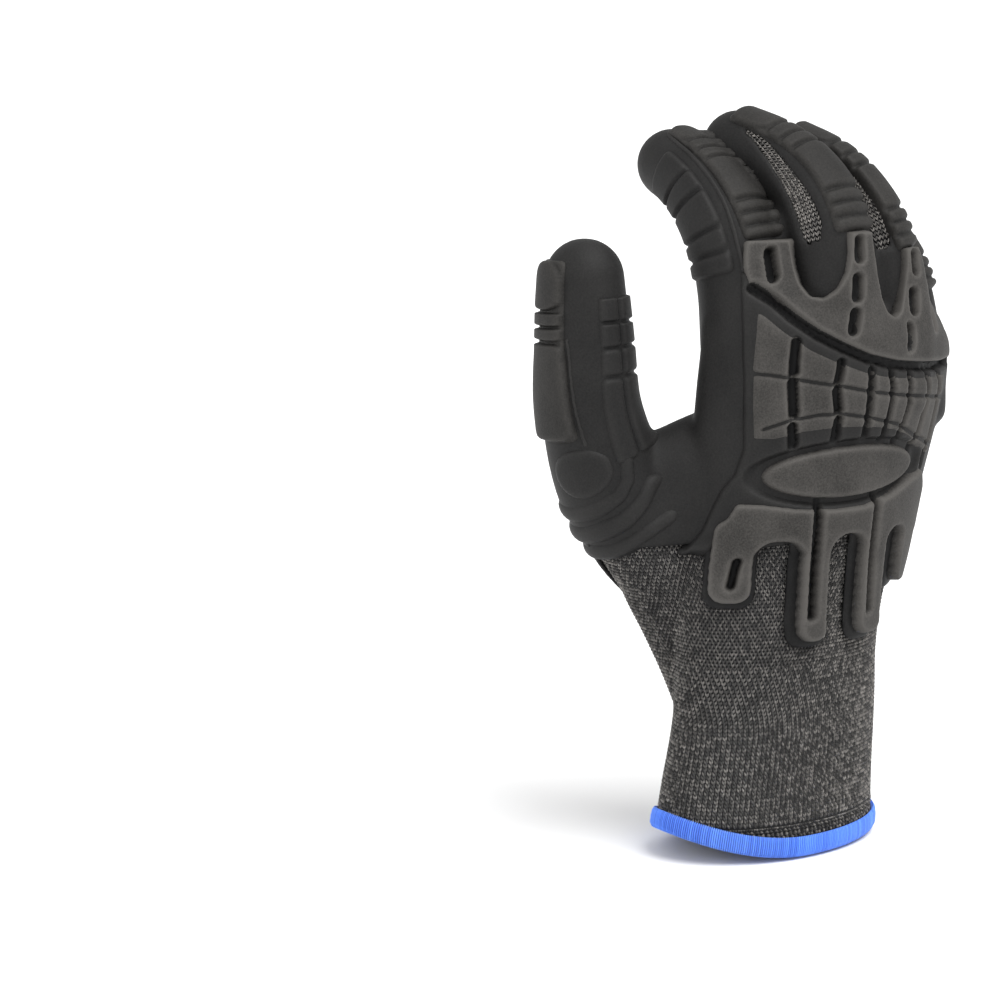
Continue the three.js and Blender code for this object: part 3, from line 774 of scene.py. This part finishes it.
ribPlate = [
    [215.5, 180.5], [229.8, 172.4], [240, 167.2], [250, 163.4], [264, 159], [276, 156.9],
    [294.4, 155.2], [316, 153.8], [318, 140], [316, 125], [308, 125.5], [299.6, 130], [292, 133],
    [285.6, 135.4], [276.6, 137.4], [267, 138.6], [254.6, 139], [241.5, 138], [233, 135.8],
    [224, 136], [221, 146], [217.5, 160],
]
knucklePlate = [
    [210.5, 199.2], [211.5, 191], [213.5, 186], [217, 182], [222, 179.4], [231, 173.8],
    [241, 168.8], [252, 164.6], [263, 161], [276, 158.6], [290, 157], [305, 156], [318, 156],
    [321, 168], [318, 176.5], [310.5, 176.5], [307.5, 171], [304.5, 167.5], [301, 167.5],
    [299.5, 172], [301, 181], [300.5, 190], [298.4, 195], [289.4, 195], [287.8, 189], [286, 184],
    [283.4, 178.6], [280.6, 175.2], [276.8, 173.8], [272.5, 176], [269, 181], [267, 187],
    [266.4, 194], [266.4, 202], [254.2, 202], [253.6, 195], [252, 189.5], [248.6, 184.6],
    [243.6, 181.6], [238.6, 182], [234.6, 185.6], [232.2, 190.6], [231, 195], [230.6, 199.2],
]
knuckleSlots = [
    [3.0, [[219.6, 194.8], [221.8, 187.6]]],
    [2.8, [[258.4, 198.8], [257.9, 193.6]]],
    [2.8, [[256.8, 187.2], [256.4, 181.8]]],
    [2.8, [[255.8, 176.6], [254.9, 171.4]]],
    [2.7, [[293.8, 192], [293.2, 187.4]]],
    [2.7, [[290.4, 180.6], [289, 175]]],
    [2.7, [[284.4, 169.6], [282.6, 164.8]]],
]
wristPlate = [
    [224.2, 101], [223.6, 110], [226, 117.2], [236, 116.8], [248, 115.3], [262, 114.6],
    [274, 114.8], [287, 117], [299, 121], [307, 122.8], [313, 116], [315, 101],
]
wristSlots = [
    [1.9, [[231.8, 98.4], [231.6, 91]]],
    [2.2, [[254.8, 117], [259, 98], [262, 80]]],
    [1.6, [[279.2, 120], [283.6, 98], [287.6, 79]]],
]
allCuts = [curvedGroove, *ribGrooves, *knuckleSlots, *wristSlots]
wristArches = [[238.8, 255.4, 104.4, 6], [266.6, 280.6, 105.4, 5.5], [293, 302.5, 105, 4]]


def bowlInside(shape, u, v):
    scale = fans["back"]["perDegree"]
    x = (u - shape["degrees"] * scale) / (shape["halfWidth"] * scale)
    y = (v - shape["z"]) / shape["halfHeight"]
    return (1 - np.hypot(x, y)) * shape["halfHeight"]


def panelHeight(u, v):
    inside = insideBy(u, v, onFan("back", panel["outline"]))
    height = raisedTo(panel["top"], inside, panel["edge"])
    cut = cutBy(np.full(u.shape, 9.0), "back", u, v, allCuts)
    bowl = bowlInside(panel["bowl"], u, v)
    height = np.minimum(height, raisedTo(panel["top"], cut, 0.5))
    dished = panel["top"] - panel["bowlDepth"] * shoulder(bowl, panel["bowlSlope"])
    return np.where(bowl > 0, np.minimum(height, dished), height)


def ribHeight(u, v):
    plate = insideBy(u, v, onFan("back", ribPlate))
    inside = cutBy(plate, "back", u, v, ribGrooves)
    height = np.minimum(raisedTo(guards["top"], inside, 0.6), raisedTo(guards["top"], plate, 4))
    for line in ribLines:
        thin = shoulder(besideLine("back", u, v, 0.3, line) + 0.01, 0.75)
        height = np.minimum(height, 0.3 + (guards["top"] - 0.3) * thin)
    return height


def ovalHeight(u, v):
    return raisedTo(oval["top"], bowlInside(oval, u, v), 0.9)


def knuckleHeight(u, v):
    inside = blurred(insideBy(u, v, onFan("back", knucklePlate)), 3)
    inside = cutBy(inside, "back", u, v, [*knuckleSlots, curvedGroove])
    return raisedTo(guards["top"] + 0.1, inside, 0.8, -4)


def wristHeight(u, v):
    scale = fans["back"]["perDegree"]
    leaning = u + lobeLean * (v - 90)
    inside = insideBy(u, v, onFan("back", wristPlate))
    for left, right, foot, _ in zip(*lobes.values()):
        inside = np.maximum(inside, rounded(leaning, v, left * scale, right * scale, foot, 112, 4.6))
    for left, right, top, radius in wristArches:
        inside = np.minimum(inside, -rounded(leaning, v, left * scale, right * scale, 50, top, radius))
    inside = cutBy(blurred(inside, 3), "back", u, v, wristSlots)
    return raisedTo(guards["wristTop"], inside, 0.9)


say("laying the guards on the back")
patch = fanPatch("back", (206, 328), (98, 194), panelHeight, step=0.6)
madeOf(patch, "BackPanel", coatRubber, "coat_rubber")
ribs = fanPatch("back", (212, 321), (122, 184), ribHeight, step=0.5)
madeOf(ribs, "KnuckleRibs", guardRubber, "guard_rubber", *[f"knuckle_rib_{i}" for i in range(1, 8)])
boss = fanPatch("back", (229, 303), (115, 137), ovalHeight)
madeOf(boss, "OvalBoss", guardRubber, "guard_rubber", "oval_boss")
wrist = fanPatch("back", (217, 320), (67, 126), wristHeight)
madeOf(wrist, "WristGuard", guardRubber, "guard_rubber", "wrist_guard")
knuckles = fanPatch("back", (204, 326), (154, 203), knuckleHeight, step=0.5, bridges=10, hidden=-3.6)
madeOf(knuckles, "KnuckleGuard", guardRubber, "guard_rubber", "knuckle_guard")

# shade and lobeShade set painted shade: how much darker the coat is made in the sunk grooves and on the
# lobes' lower sides
sunk = {"extra": 0.4, "slope": 1.4, "depth": 1.1, "shade": 1.2, "lobeShade": 0.8, "lobeTop": 103}
points = readPoints(coat) / mm  # the coat sinks where the grooves and slots are
x, y = handMiddle(points[:, 2])
outward = np.stack([points[:, 0] - x, points[:, 1] - y - fans["back"]["depth"], 0 * x], 1)
around = np.degrees(np.arctan2(outward[:, 1], outward[:, 0])) % 360
places = around * fans["back"]["perDegree"], points[:, 2]
depth = np.zeros(len(points))
for width, line in allCuts:
    groove = -besideLine("back", *places, width + sunk["extra"], line)
    depth = np.maximum(depth, shoulder(groove, sunk["slope"]))
behind = points[:, 1] < y + 6
depth *= behind
writePoints(coat, (points - unit(outward) * sunk["depth"] * depth[:, None]) * mm)
# painted shade: the coat is darkened in the sunk grooves and slots and on the lobes' lower sides, where shade
# falls
lobeSideShade = sunk["lobeShade"] * behind * np.clip((sunk["lobeTop"] - points[:, 2]) / 3, 0, 1)
setAttribute(coat, "relief", -np.maximum(sunk["shade"] * np.minimum(depth * 2, 1), lobeSideShade))

# ---- guards and grips on the digits ----

digitGuards = {  # each rib as shares of the length, with its corners' radius
    "finger": [
        [0.46, 0.484], [0.493, 0.52], [0.529, 0.56], [0.572, 0.735], [0.747, 0.79], [0.802, 0.85],
        [0.862, 1.01, 4],
    ],
    "thumb": [[0.46, 0.69, 2.6], [0.705, 0.752], [0.765, 0.822], [0.838, 1.045, 6.5]],
    "indexGrips": [[0.385, 0.44], [0.452, 0.51], [0.522, 0.65], [0.662, 0.745], [0.757, 0.885]],
    "thumbGrips": [[0.39, 0.59], [0.602, 0.665], [0.677, 0.765], [0.78, 0.9]],
    "inside": [[0.4, 0.45], [0.475, 0.53], [0.555, 0.62], [0.645, 0.7], [0.725, 0.77]],
}
backSides = {
    "index": [248, 320],
    "middle": [232, 304],
    "ring": [246, 314],
    "little": [246, 314],
    "thumb": [236, 303],
}


def ribbedHeight(digit, ribs, sides, top, web, lean, radius=1.1, margin=0.8):
    def heightAt(u, v):
        u = u - lean * np.maximum(0.7 - v / digit.length, 0)
        low, high = ribs[0][0] * digit.length, ribs[-1][1] * digit.length
        height = np.full(u.shape, guards["floor"])
        for left, right in np.reshape(sides, (-1, 2)) * fingerPerDegree:
            edges = left - margin, right + margin, low - margin, high + margin
            height = np.maximum(height, raisedTo(web, rounded(u, v, *edges, radius + margin)))
            for start, end, *corner in ribs:
                edges = left, right, start * digit.length, end * digit.length
                inside = rounded(u, v, *edges, *(corner or [radius]))
                risen = np.maximum(height, web + (top - web) * shoulder(inside, 0.6))
                height = np.where(inside > 0, risen, height)
        return height

    return heightAt


def digitPatch(digit, degrees, shares, heightAt, above=4.2, **changes):
    uRange = (degrees[0] * fingerPerDegree, degrees[1] * fingerPerDegree)
    vRange = (shares[0] * digit.length, shares[1] * digit.length)
    rays = digitRays(digit, fingerPerDegree, above)
    return relief(rays, uRange, vRange, heightAt, farthest=above + 6, **changes)


def ribbedPatch(name, ribs, sides, top, web, lean=0, **changes):
    heightAt = ribbedHeight(digits[name], ribs, sides, top, web, lean)
    shares = (ribs[0][0] - 0.03, ribs[-1][1] + 0.03)
    return digitPatch(digits[name], (sides[0] - 12, sides[-1] + 24), shares, heightAt, **changes)


say("laying the guards on the digits")
for name, sides in backSides.items():
    kind, top, lean = ("thumb", "top", 11) if name == "thumb" else ("finger", "fingerTop", 0)
    patch = ribbedPatch(name, digitGuards[kind], sides, guards[top], guards["web"], lean, step=0.45)
    madeOf(patch, name.capitalize() + "Guard", gripRubber, "guard_rubber", name + "_guard")
patch = ribbedPatch("index", digitGuards["indexGrips"], (148, 222), 1.5, 0.25)
madeOf(patch, "IndexSideGrip", coatRubber, "coat_rubber", "index_side_grip")
patch = ribbedPatch("thumb", digitGuards["thumbGrips"], (355, 383, 388, 430), 1.2, 0.1)
madeOf(patch, "ThumbSideGrip", coatRubber, "coat_rubber", "thumb_side_grip")
for name in fingerNames:
    patch = ribbedPatch(name, digitGuards["inside"], (66, 114), 0.8, 0.15, step=0.7)
    madeOf(patch, name.capitalize() + "InsideGrips", coatRubber, "coat_rubber")

thumbDisc = {"t": 0.392, "degrees": 313, "halfLength": 0.05, "halfDegrees": 39, "top": 0.9}


def discHeight(u, v):
    length = digits["thumb"].length
    x = (u - thumbDisc["degrees"] * fingerPerDegree) / (thumbDisc["halfDegrees"] * fingerPerDegree)
    y = (v - thumbDisc["t"] * length) / (thumbDisc["halfLength"] * length)
    return raisedTo(thumbDisc["top"], (1 - np.hypot(x, y)) * thumbDisc["halfLength"] * length, 1.2)


patch = digitPatch(digits["thumb"], (262, 352), (0.33, 0.455), discHeight, above=8)
madeOf(patch, "ThumbDisc", coatRubber, "guard_rubber", "thumb_disc")

beads = {  # raised lines: width, height, and the line in shares and degrees
    "ThumbRidges": [
        [4.2, 1.1, [[0.32, 248], [0.318, 290], [0.321, 320], [0.33, 345], [0.35, 359], [0.39, 366]]],
        [4.9, 1.6, [[0.278, 246], [0.282, 300], [0.285, 337], [0.296, 362], [0.318, 384]]],
        [4.2, 1.1, [[0.238, 246], [0.242, 300], [0.244, 343], [0.24, 376]]],
    ],
    "ThumbPiping": [[1.3, 0.8, [[0.71, 310], [0.6, 315], [0.52, 320], [0.445, 326]]]],
    "IndexPiping": [
        [1.9, 0.9, [[1, 247], [0.86, 240.5], [0.715, 239], [0.585, 239], [0.46, 235], [0.38, 235]]]
    ],
}


def beadHeight(name, digit):
    def heightAt(u, v):
        height = np.full(u.shape, guards["floor"])
        for width, top, line in beads[name]:
            placed = [[degrees * fingerPerDegree, t * digit.length] for t, degrees in line]
            height = np.maximum(height, raisedTo(top, width / 2 - lineAway(u, v, placed), width / 2))
        return height

    return heightAt


thumb, index = digits["thumb"], digits["index"]
patch = digitPatch(thumb, (228, 402), (0.19, 0.43), beadHeight("ThumbRidges", thumb), above=8)
madeOf(patch, "ThumbRidges", coatRubber, "coat_rubber", "thumb_ridge_1", "thumb_ridge_2")
patch = digitPatch(thumb, (300, 336), (0.42, 0.74), beadHeight("ThumbPiping", thumb), step=0.4)
madeOf(patch, "ThumbPiping", coatRubber, "coat_rubber")
patch = digitPatch(index, (224, 258), (0.34, 1), beadHeight("IndexPiping", index), step=0.45)
madeOf(patch, "IndexPiping", coatRubber, "coat_rubber")

# ---- grip pads on the palm, in the palm fan's degrees and heights ----

palmPlate = {
    "top": 1.1,
    "fade": {"from": 136, "to": 160, "left": 0.15},  # the plate sinks into the coat towards the fingers
    "outline": [
        [51, 157], [50, 138], [47.5, 121], [47, 104], [49, 96], [60, 86.5], [69, 92.5], [78, 98],
        [75, 88], [73.2, 78], [79, 75], [88, 73.6], [100, 73], [107, 73.5], [113.8, 80],
        [116.6, 86], [116, 93], [115.8, 106], [115, 122], [114.4, 135], [114.2, 147], [112.5, 164],
        [104, 166], [80, 163],
    ],
    "grooves": [
        [1.2, [[45, 91], [55, 99], [63, 106], [74, 115], [85, 124], [94, 129], [101, 131]]],
        [1.2, [[82, 104], [87, 112], [93, 119], [99, 124], [106, 129]]],
        [
            1.5,
            [[104.6, 79], [102, 88], [101, 95], [102, 108], [104.6, 119], [108, 127], [112, 133], [118, 137]],
        ],
        [1.3, [[111.4, 79], [109, 87], [108.4, 93], [109, 101], [110.6, 109]]],
    ],
    "lines": [
        [
            [55, 158], [69, 156], [80, 156], [90, 158], [99.6, 160.6], [102, 159.4], [100.5, 158],
            [92, 155], [79, 152], [55, 153],
        ],
        [[79, 152], [92, 155], [100.5, 158], [106, 160], [115, 164]],
        [[54.5, 118.4], [62, 121.6], [72, 127.6], [84, 134]],
        [[53, 105], [61, 110.6], [70, 117.6], [76, 122.6]],
    ],
    "blocks": [
        [[60, 149], [76, 148.4], [75, 140.6], [58, 139.6]],
        [[58, 137], [74, 138.4], [71.4, 129], [56, 121]],
        [[56, 117], [69.6, 125], [68, 116], [55, 106.6]],
    ],
    "squares": [  # middle, half width and half height
        [78.4, 144.5, 2.8, 3.2], [85, 144.6, 1.6, 2.6], [90.6, 146.4, 2.2, 2.5],
        [97.4, 148, 2.5, 2.5], [104, 150.6, 2.6, 2.8], [110.4, 154.4, 2.5, 3.2],
        [74.8, 132.6, 2.1, 3.2], [82.4, 133.4, 2.6, 3.0], [89.8, 136.6, 2.4, 2.5],
        [97, 139.8, 2.5, 2.3], [104.2, 142.4, 2.5, 2.2], [110.8, 145.4, 2.2, 2.2],
    ],
}
palmNodes = ["heel_pad", "palm_cross_pad", "thenar_outer_pad", "thenar_inner_pad"]
palmNodes += [f"palm_edge_pad_{i}" for i in range(1, 4)]


def palmHeight(u, v):
    inside = blurred(insideBy(u, v, onFan("palm", palmPlate["outline"])), 4)
    inside = cutBy(inside, "palm", u, v, palmPlate["grooves"])
    fade = palmPlate["fade"]
    share = 1 - (1 - fade["left"]) * np.clip((v - fade["from"]) / (fade["to"] - fade["from"]), 0, 1)
    height = raisedTo(palmPlate["top"], inside, 0.9, -2.4)
    height = np.where(height > 0, height * share, height)
    thin = np.full(u.shape, 9.0)
    for line in palmPlate["lines"]:
        thin = np.minimum(thin, lineAway(u, v, onFan("palm", line)))
    for outline in palmPlate["blocks"]:
        thin = np.minimum(thin, np.abs(insideBy(u, v, onFan("palm", outline))))
    for degrees, z, wide, tall in palmPlate["squares"]:
        tilted = v - (u - degrees) * 0.3
        edges = degrees - wide, degrees + wide, z - tall, z + tall
        thin = np.minimum(thin, np.abs(rounded(u, tilted, *edges, 0.7)))
    return height - 0.75 * (1 - shoulder(thin, 0.75)) * (height > 0)


say("laying the plate on the palm")
palm = fanPatch("palm", (42, 119), (69, 169), palmHeight, step=0.42, bridges=3, hidden=-2.1)
madeOf(palm, "PalmPlate", palmRubber, "guard_rubber", *palmNodes)

# ---- the knit's stitches ----

knit = {
    "zones": [  # first and last height, spacing round the cuff, and row height
        {"start": 3.4, "end": 63, "pitch": 1.7, "course": 1.3},
        {"start": 63, "end": 110, "pitch": 1.45, "course": 1.2},
    ],
    "aboveHem": 4.6,
    "legWidth": 0.43,
    "legLength": 1.5,
    "apart": 0.2,
    "lean": 21,
    "raise": 0.7,
}
random = np.random.default_rng(11)


def legTemplate():  # one side of a V, a spindle that lies along Y
    section = [(-0.5, 0.0), (0.0, 0.9), (0.5, 0.0)]
    verts = [(0, -0.5, 0.1)] + [(x, 0, z) for x, z in section] + [(0, 0.5, 0.1)]
    faces = []
    for i in range(3):
        j = (i + 1) % 3
        faces += [(0, 1 + j, 1 + i), (4, 1 + i, 1 + j)]
    return np.array(verts), faces


def stitchLegs(grid, shown, course, closed):  # points and tones of the Vs at a grid's shown places
    across = np.roll(grid, -1, 1) - np.roll(grid, 1, 1) if closed else 2 * np.gradient(grid, axis=1)
    pitch = (np.linalg.norm(across, axis=2) / 2)[shown][:, None]
    rights = unit(across)
    outs = unit(np.cross(rights, np.gradient(grid, axis=0)))
    ups = np.cross(outs, rights)
    x, y, z = legTemplate()[0].T
    verts, tones = [], []
    shared = random.beta(1.1, 1.9, shown.sum())
    for side in (-1, 1):
        lean = math.radians(knit["lean"]) * side
        wide, tall = x * knit["legWidth"] * pitch, y * knit["legLength"] * course
        right = wide * math.cos(lean) + tall * math.sin(lean) + side * knit["apart"] * pitch
        up = tall * math.cos(lean) - wide * math.sin(lean)
        rise = np.broadcast_to(z * knit["raise"], right.shape)
        steps = ((rights, right), (ups, up), (outs, rise))
        parts = [axis[shown][:, None] * amount[..., None] for axis, amount in steps]
        verts.append(grid[shown][:, None] + sum(parts))
        own = random.beta(1.4, 1.4, shown.sum())
        tones.append(np.clip(0.25 * shared + 0.5 * own + 0.2, 0, 1))
    return np.concatenate(verts), np.concatenate(tones)


def builtFrom(name, verts, faces, tones):  # one mesh of many copies, each with its own tone
    count = verts.shape[1]
    allFaces = [tuple(i + k * count for i in face) for k in range(len(verts)) for face in faces]
    mesh = bpy.data.meshes.new(name)
    mesh.from_pydata((verts.reshape(-1, 3) * mm).tolist(), [], allFaces)
    obj = bpy.data.objects.new(name, mesh)
    bpy.context.scene.collection.objects.link(obj)
    setAttribute(obj, "tone", np.repeat(tones, count))
    return facingOut(obj)


def zoneGrid(zone):  # the cloth's points in equal steps round each row
    heights = np.arange(zone["start"], zone["end"], zone["course"])
    angles = np.linspace(0, 2 * math.pi, 361) + math.pi / 2
    aa, zz = np.meshgrid(angles, heights)
    start = handPlace(aa.ravel(), zz.ravel(), 0)
    width, depth = (along(hand["sections"], key, zz.ravel()) for key in ("halfWidth", "halfDepth"))
    out = unit(np.stack([np.cos(aa.ravel()) / width, np.sin(aa.ravel()) / depth, 0 * width], -1))
    hits = layOn(clothSkin, start + out * 42, -out)
    lost = np.isnan(hits[:, 0])
    hits[lost] = start[lost]
    rows = hits.reshape(*aa.shape, 3)
    runs = np.cumsum(np.linalg.norm(np.diff(rows, axis=1), axis=2), 1)
    runs = np.concatenate([np.zeros((len(rows), 1)), runs], 1)
    count = int(round(np.median(runs[:, -1]) / zone["pitch"]))
    grid = np.zeros((len(rows), count, 3))
    for row, run, placed in zip(rows, runs, grid):
        steps = np.arange(count) / count * run[-1]
        for k in range(3):
            placed[:, k] = np.interp(steps, run, row[:, k])
    return grid


say("knitting the cuff")
parts = []
for zone in knit["zones"]:
    grid = zoneGrid(zone)
    cover = coatCover(grid.reshape(-1, 3)).reshape(grid.shape[:2])
    hemTop = hemRise(grid[..., 0] / hand["sections"]["halfWidth"][0]) + knit["aboveHem"]
    shown = (grid[..., 2] > hemTop) & (cover < 1.2) & (grid[..., 2] < zone["end"])
    parts.append(stitchLegs(grid, shown, zone["course"], True))
verts, tones = (np.concatenate(kind) for kind in zip(*parts))
stitches = builtFrom("KnitStitches", verts, legTemplate()[1], tones)
madeOf(stitches, "KnitStitches", melangeKnit, "knit", "knit_liner")

parts = []
for name in windows:
    digit = digits[name]
    t, degrees, width = np.array(windows[name]).T
    rows = np.arange(t[0] * digit.length, t[-1] * digit.length, 1.35)
    columns = np.arange(-5, 5.1, 1.3)
    centre = np.interp(rows / digit.length, t, degrees)
    shares = np.repeat(rows[:, None] / digit.length, len(columns), 1)
    around = centre[:, None] + columns[None] / fingerPerDegree
    start = digit.place(shares.ravel(), around.ravel(), 4.2)
    aim = unit(digit.place(shares.ravel(), around.ravel(), -5) - start)
    hits = layOn(clothSkin, start, aim)
    hits = np.where(np.isnan(hits), digit.place(shares.ravel(), around.ravel(), 0), hits)
    grid = (hits - aim * 1.1).reshape(*shares.shape, 3)
    room = np.interp(rows / digit.length, t, width)[:, None] / 2 + 0.9
    parts.append(stitchLegs(grid, np.abs(columns)[None] < room, 1.35, False))
verts, tones = (np.concatenate(kind) for kind in zip(*parts))
tones = np.clip(tones * 1.1 + 0.15, 0, 1)
stitches = builtFrom("FingerStitches", verts, legTemplate()[1], tones)
madeOf(stitches, "FingerStitches", melangeKnit, "knit", "knit_liner")

# ---- the cuff's hem ----


def hemBand():
    profile = [  # offset from the liner's outer face, and height
        (1.15, 0.5), (1.3, 1.5), (1.3, 3.6), (1.15, 5.0), (0.8, 5.6), (0.35, 5.3), (0.2, 4.0),
        (0.1, 1.3), (-1.3, 1.3), (-1.6, 4.2), (-1.9, 5.2), (-2.4, 4.9), (-2.5, 2.5), (-2.2, 0.9),
        (-1.3, 0.1), (0.3, 0.0),
    ]
    bpy.ops.object.select_all(action="DESELECT")
    bpy.ops.mesh.primitive_torus_add(major_segments=160, minor_segments=16)
    band = bpy.context.object
    points = readPoints(band)
    angle = np.arctan2(points[:, 1], points[:, 0])
    ring = np.hypot(points[:, 0], points[:, 1]) - 1
    minor = np.rint(np.arctan2(points[:, 2], ring) / (2 * math.pi) * 16).astype(int) % 16
    offset, height = np.array(profile).T
    order = (minor + 2) % 16
    z = hemRise(np.cos(angle)) + height[order]
    writePoints(band, handPlace(angle, z, offset[order]) * mm)
    setAttribute(band, "tone", np.full(len(points), 0.15))
    return facingOut(band)


madeOf(hemBand(), "CuffHem", blueThread, "overlock_thread", "cuff_hem")

overlock = {
    "wraps": 300,
    "width": 0.56,
    "slant": 0.35,
    "path": [  # round the band, as offset and height
        [0.9, 5.9], [1.45, 5.0], [1.65, 3.0], [1.55, 1.0], [0.9, -0.25], [-0.4, -0.35], [-1.8, 0.2],
        [-2.7, 1.6], [-2.8, 3.6], [-2.4, 5.2],
    ],
}


def overlockThreads():
    fineAngles = np.linspace(0, 2 * math.pi, 2001)
    run = np.linalg.norm(np.diff(handPlace(fineAngles, np.full(2001, 4.0), 0), axis=0), axis=1).cumsum()
    wraps = overlock["wraps"]
    angles = np.interp(np.arange(wraps) / wraps * run[-1], run, fineAngles[1:])
    perMillimetre = 2 * math.pi / run[-1]
    path = np.array(overlock["path"])
    outward = unit(np.gradient(path, axis=0))[:, ::-1] * [-1, 1]
    outward = outward * (1 if outward[3, 0] > 0 else -1)
    half = overlock["width"] / 2
    section = np.array([(-half, 0), (-half * 0.5, half), (half * 0.5, half), (half, 0)])
    slant = overlock["slant"] * np.linspace(1, -1, len(path)) * perMillimetre
    turned = angles[:, None, None] + slant[None, :, None] + section[None, None, :, 0] * perMillimetre
    rise = section[None, None, :, 1]
    offset = path[None, :, 0, None] + outward[None, :, 0, None] * rise
    height = path[None, :, 1, None] + outward[None, :, 1, None] * rise
    height, offset = (np.broadcast_to(part, turned.shape).ravel() for part in (height, offset))
    lift = np.broadcast_to(hemRise(np.cos(angles))[:, None, None], turned.shape).ravel()
    verts = handPlace(turned.ravel(), lift + height, offset).reshape(wraps, -1, 3)
    faces = [(3, 2, 1, 0), tuple(range(4 * len(path) - 4, 4 * len(path)))]
    for i in range(len(path) - 1):
        for j in range(4):
            a, b = 4 * i + j, 4 * i + (j + 1) % 4
            faces.append((a, b, b + 4, a + 4))
    return builtFrom("OverlockThreads", verts, faces, random.uniform(0.3, 1, wraps))


madeOf(overlockThreads(), "OverlockThreads", blueThread, "overlock_thread", "cuff_hem")

# ---- floor, light and camera ----

stage = {"floorZ": -0.0015, "floorSize": 24.0, "floorColor": (0.92, 0.92, 0.92, 1), "world": 0.78}


def paleFloor():
    bpy.ops.object.select_all(action="DESELECT")
    place = (0, 0, stage["floorZ"])
    bpy.ops.mesh.primitive_plane_add(size=stage["floorSize"], location=place)
    floor = bpy.context.object
    floor.name = "PaleFloor"
    finish = Finish("paleFloor")
    dust = finish.noise(9, 3, 0.5)
    rough = (dust * 0.1 + 0.85).clamped()
    floor.data.materials.append(finish.shade(color=stage["floorColor"], roughness=rough, specular=0.1))


def softLight(name, kind, place, power, size):
    data = bpy.data.lights.new(name, kind)
    data.energy = power
    if kind == "SUN":
        data.angle = math.radians(size)
    else:
        data.size = size
    light = bpy.data.objects.new(name, data)
    bpy.context.scene.collection.objects.link(light)
    light.location = place
    light.rotation_euler = (Vector((0, 0, 0.12)) - Vector(place)).to_track_quat("-Z", "Y").to_euler()


view = {
    "azimuth": -38,
    "elevation": 11,
    "distance": 1.1,
    "target": (0.005, 0, 0.115),
    "pixel": (778, 486),  # where the target lies in a picture of 1000 by 1000
    "metresPerPixel": 0.000325,
}


def mainCamera():
    a, e = math.radians(view["azimuth"]), math.radians(view["elevation"])
    back = Vector((math.sin(a) * math.cos(e), -math.cos(a) * math.cos(e), math.sin(e)))
    target, scale = Vector(view["target"]), view["metresPerPixel"]
    right = (-back).cross(Vector((0, 0, 1))).normalized()
    up = right.cross(-back)
    aim = target - right * (view["pixel"][0] - 500) * scale + up * (view["pixel"][1] - 500) * scale
    data = bpy.data.cameras.new("PhotoCamera")
    data.sensor_width, data.sensor_fit = 36, "HORIZONTAL"
    data.lens = 36 * view["distance"] / (1000 * scale)
    camera = bpy.data.objects.new("PhotoCamera", data)
    bpy.context.scene.collection.objects.link(camera)
    camera.location = target + back * view["distance"]
    camera.rotation_euler = (aim - camera.location).to_track_quat("-Z", "Y").to_euler()
    bpy.context.scene.camera = camera


paleFloor()
softLight("KeySun", "SUN", (0.3, -0.95, 1.9), 2.9, 45)
softLight("FillLight", "AREA", (-1.1, -0.9, 0.8), 2, 1.0)
softLight("EdgeLight", "AREA", (-1.2, 0.6, 0.4), 4, 0.8)
world = bpy.data.worlds.new("Studio")
world.use_nodes = True
sky = world.node_tree.nodes["Background"]
sky.inputs["Color"].default_value = (1, 1, 1, 1)
sky.inputs["Strength"].default_value = stage["world"]
bpy.context.scene.world = world
bpy.context.scene.view_settings.view_transform = "Standard"
mainCamera()
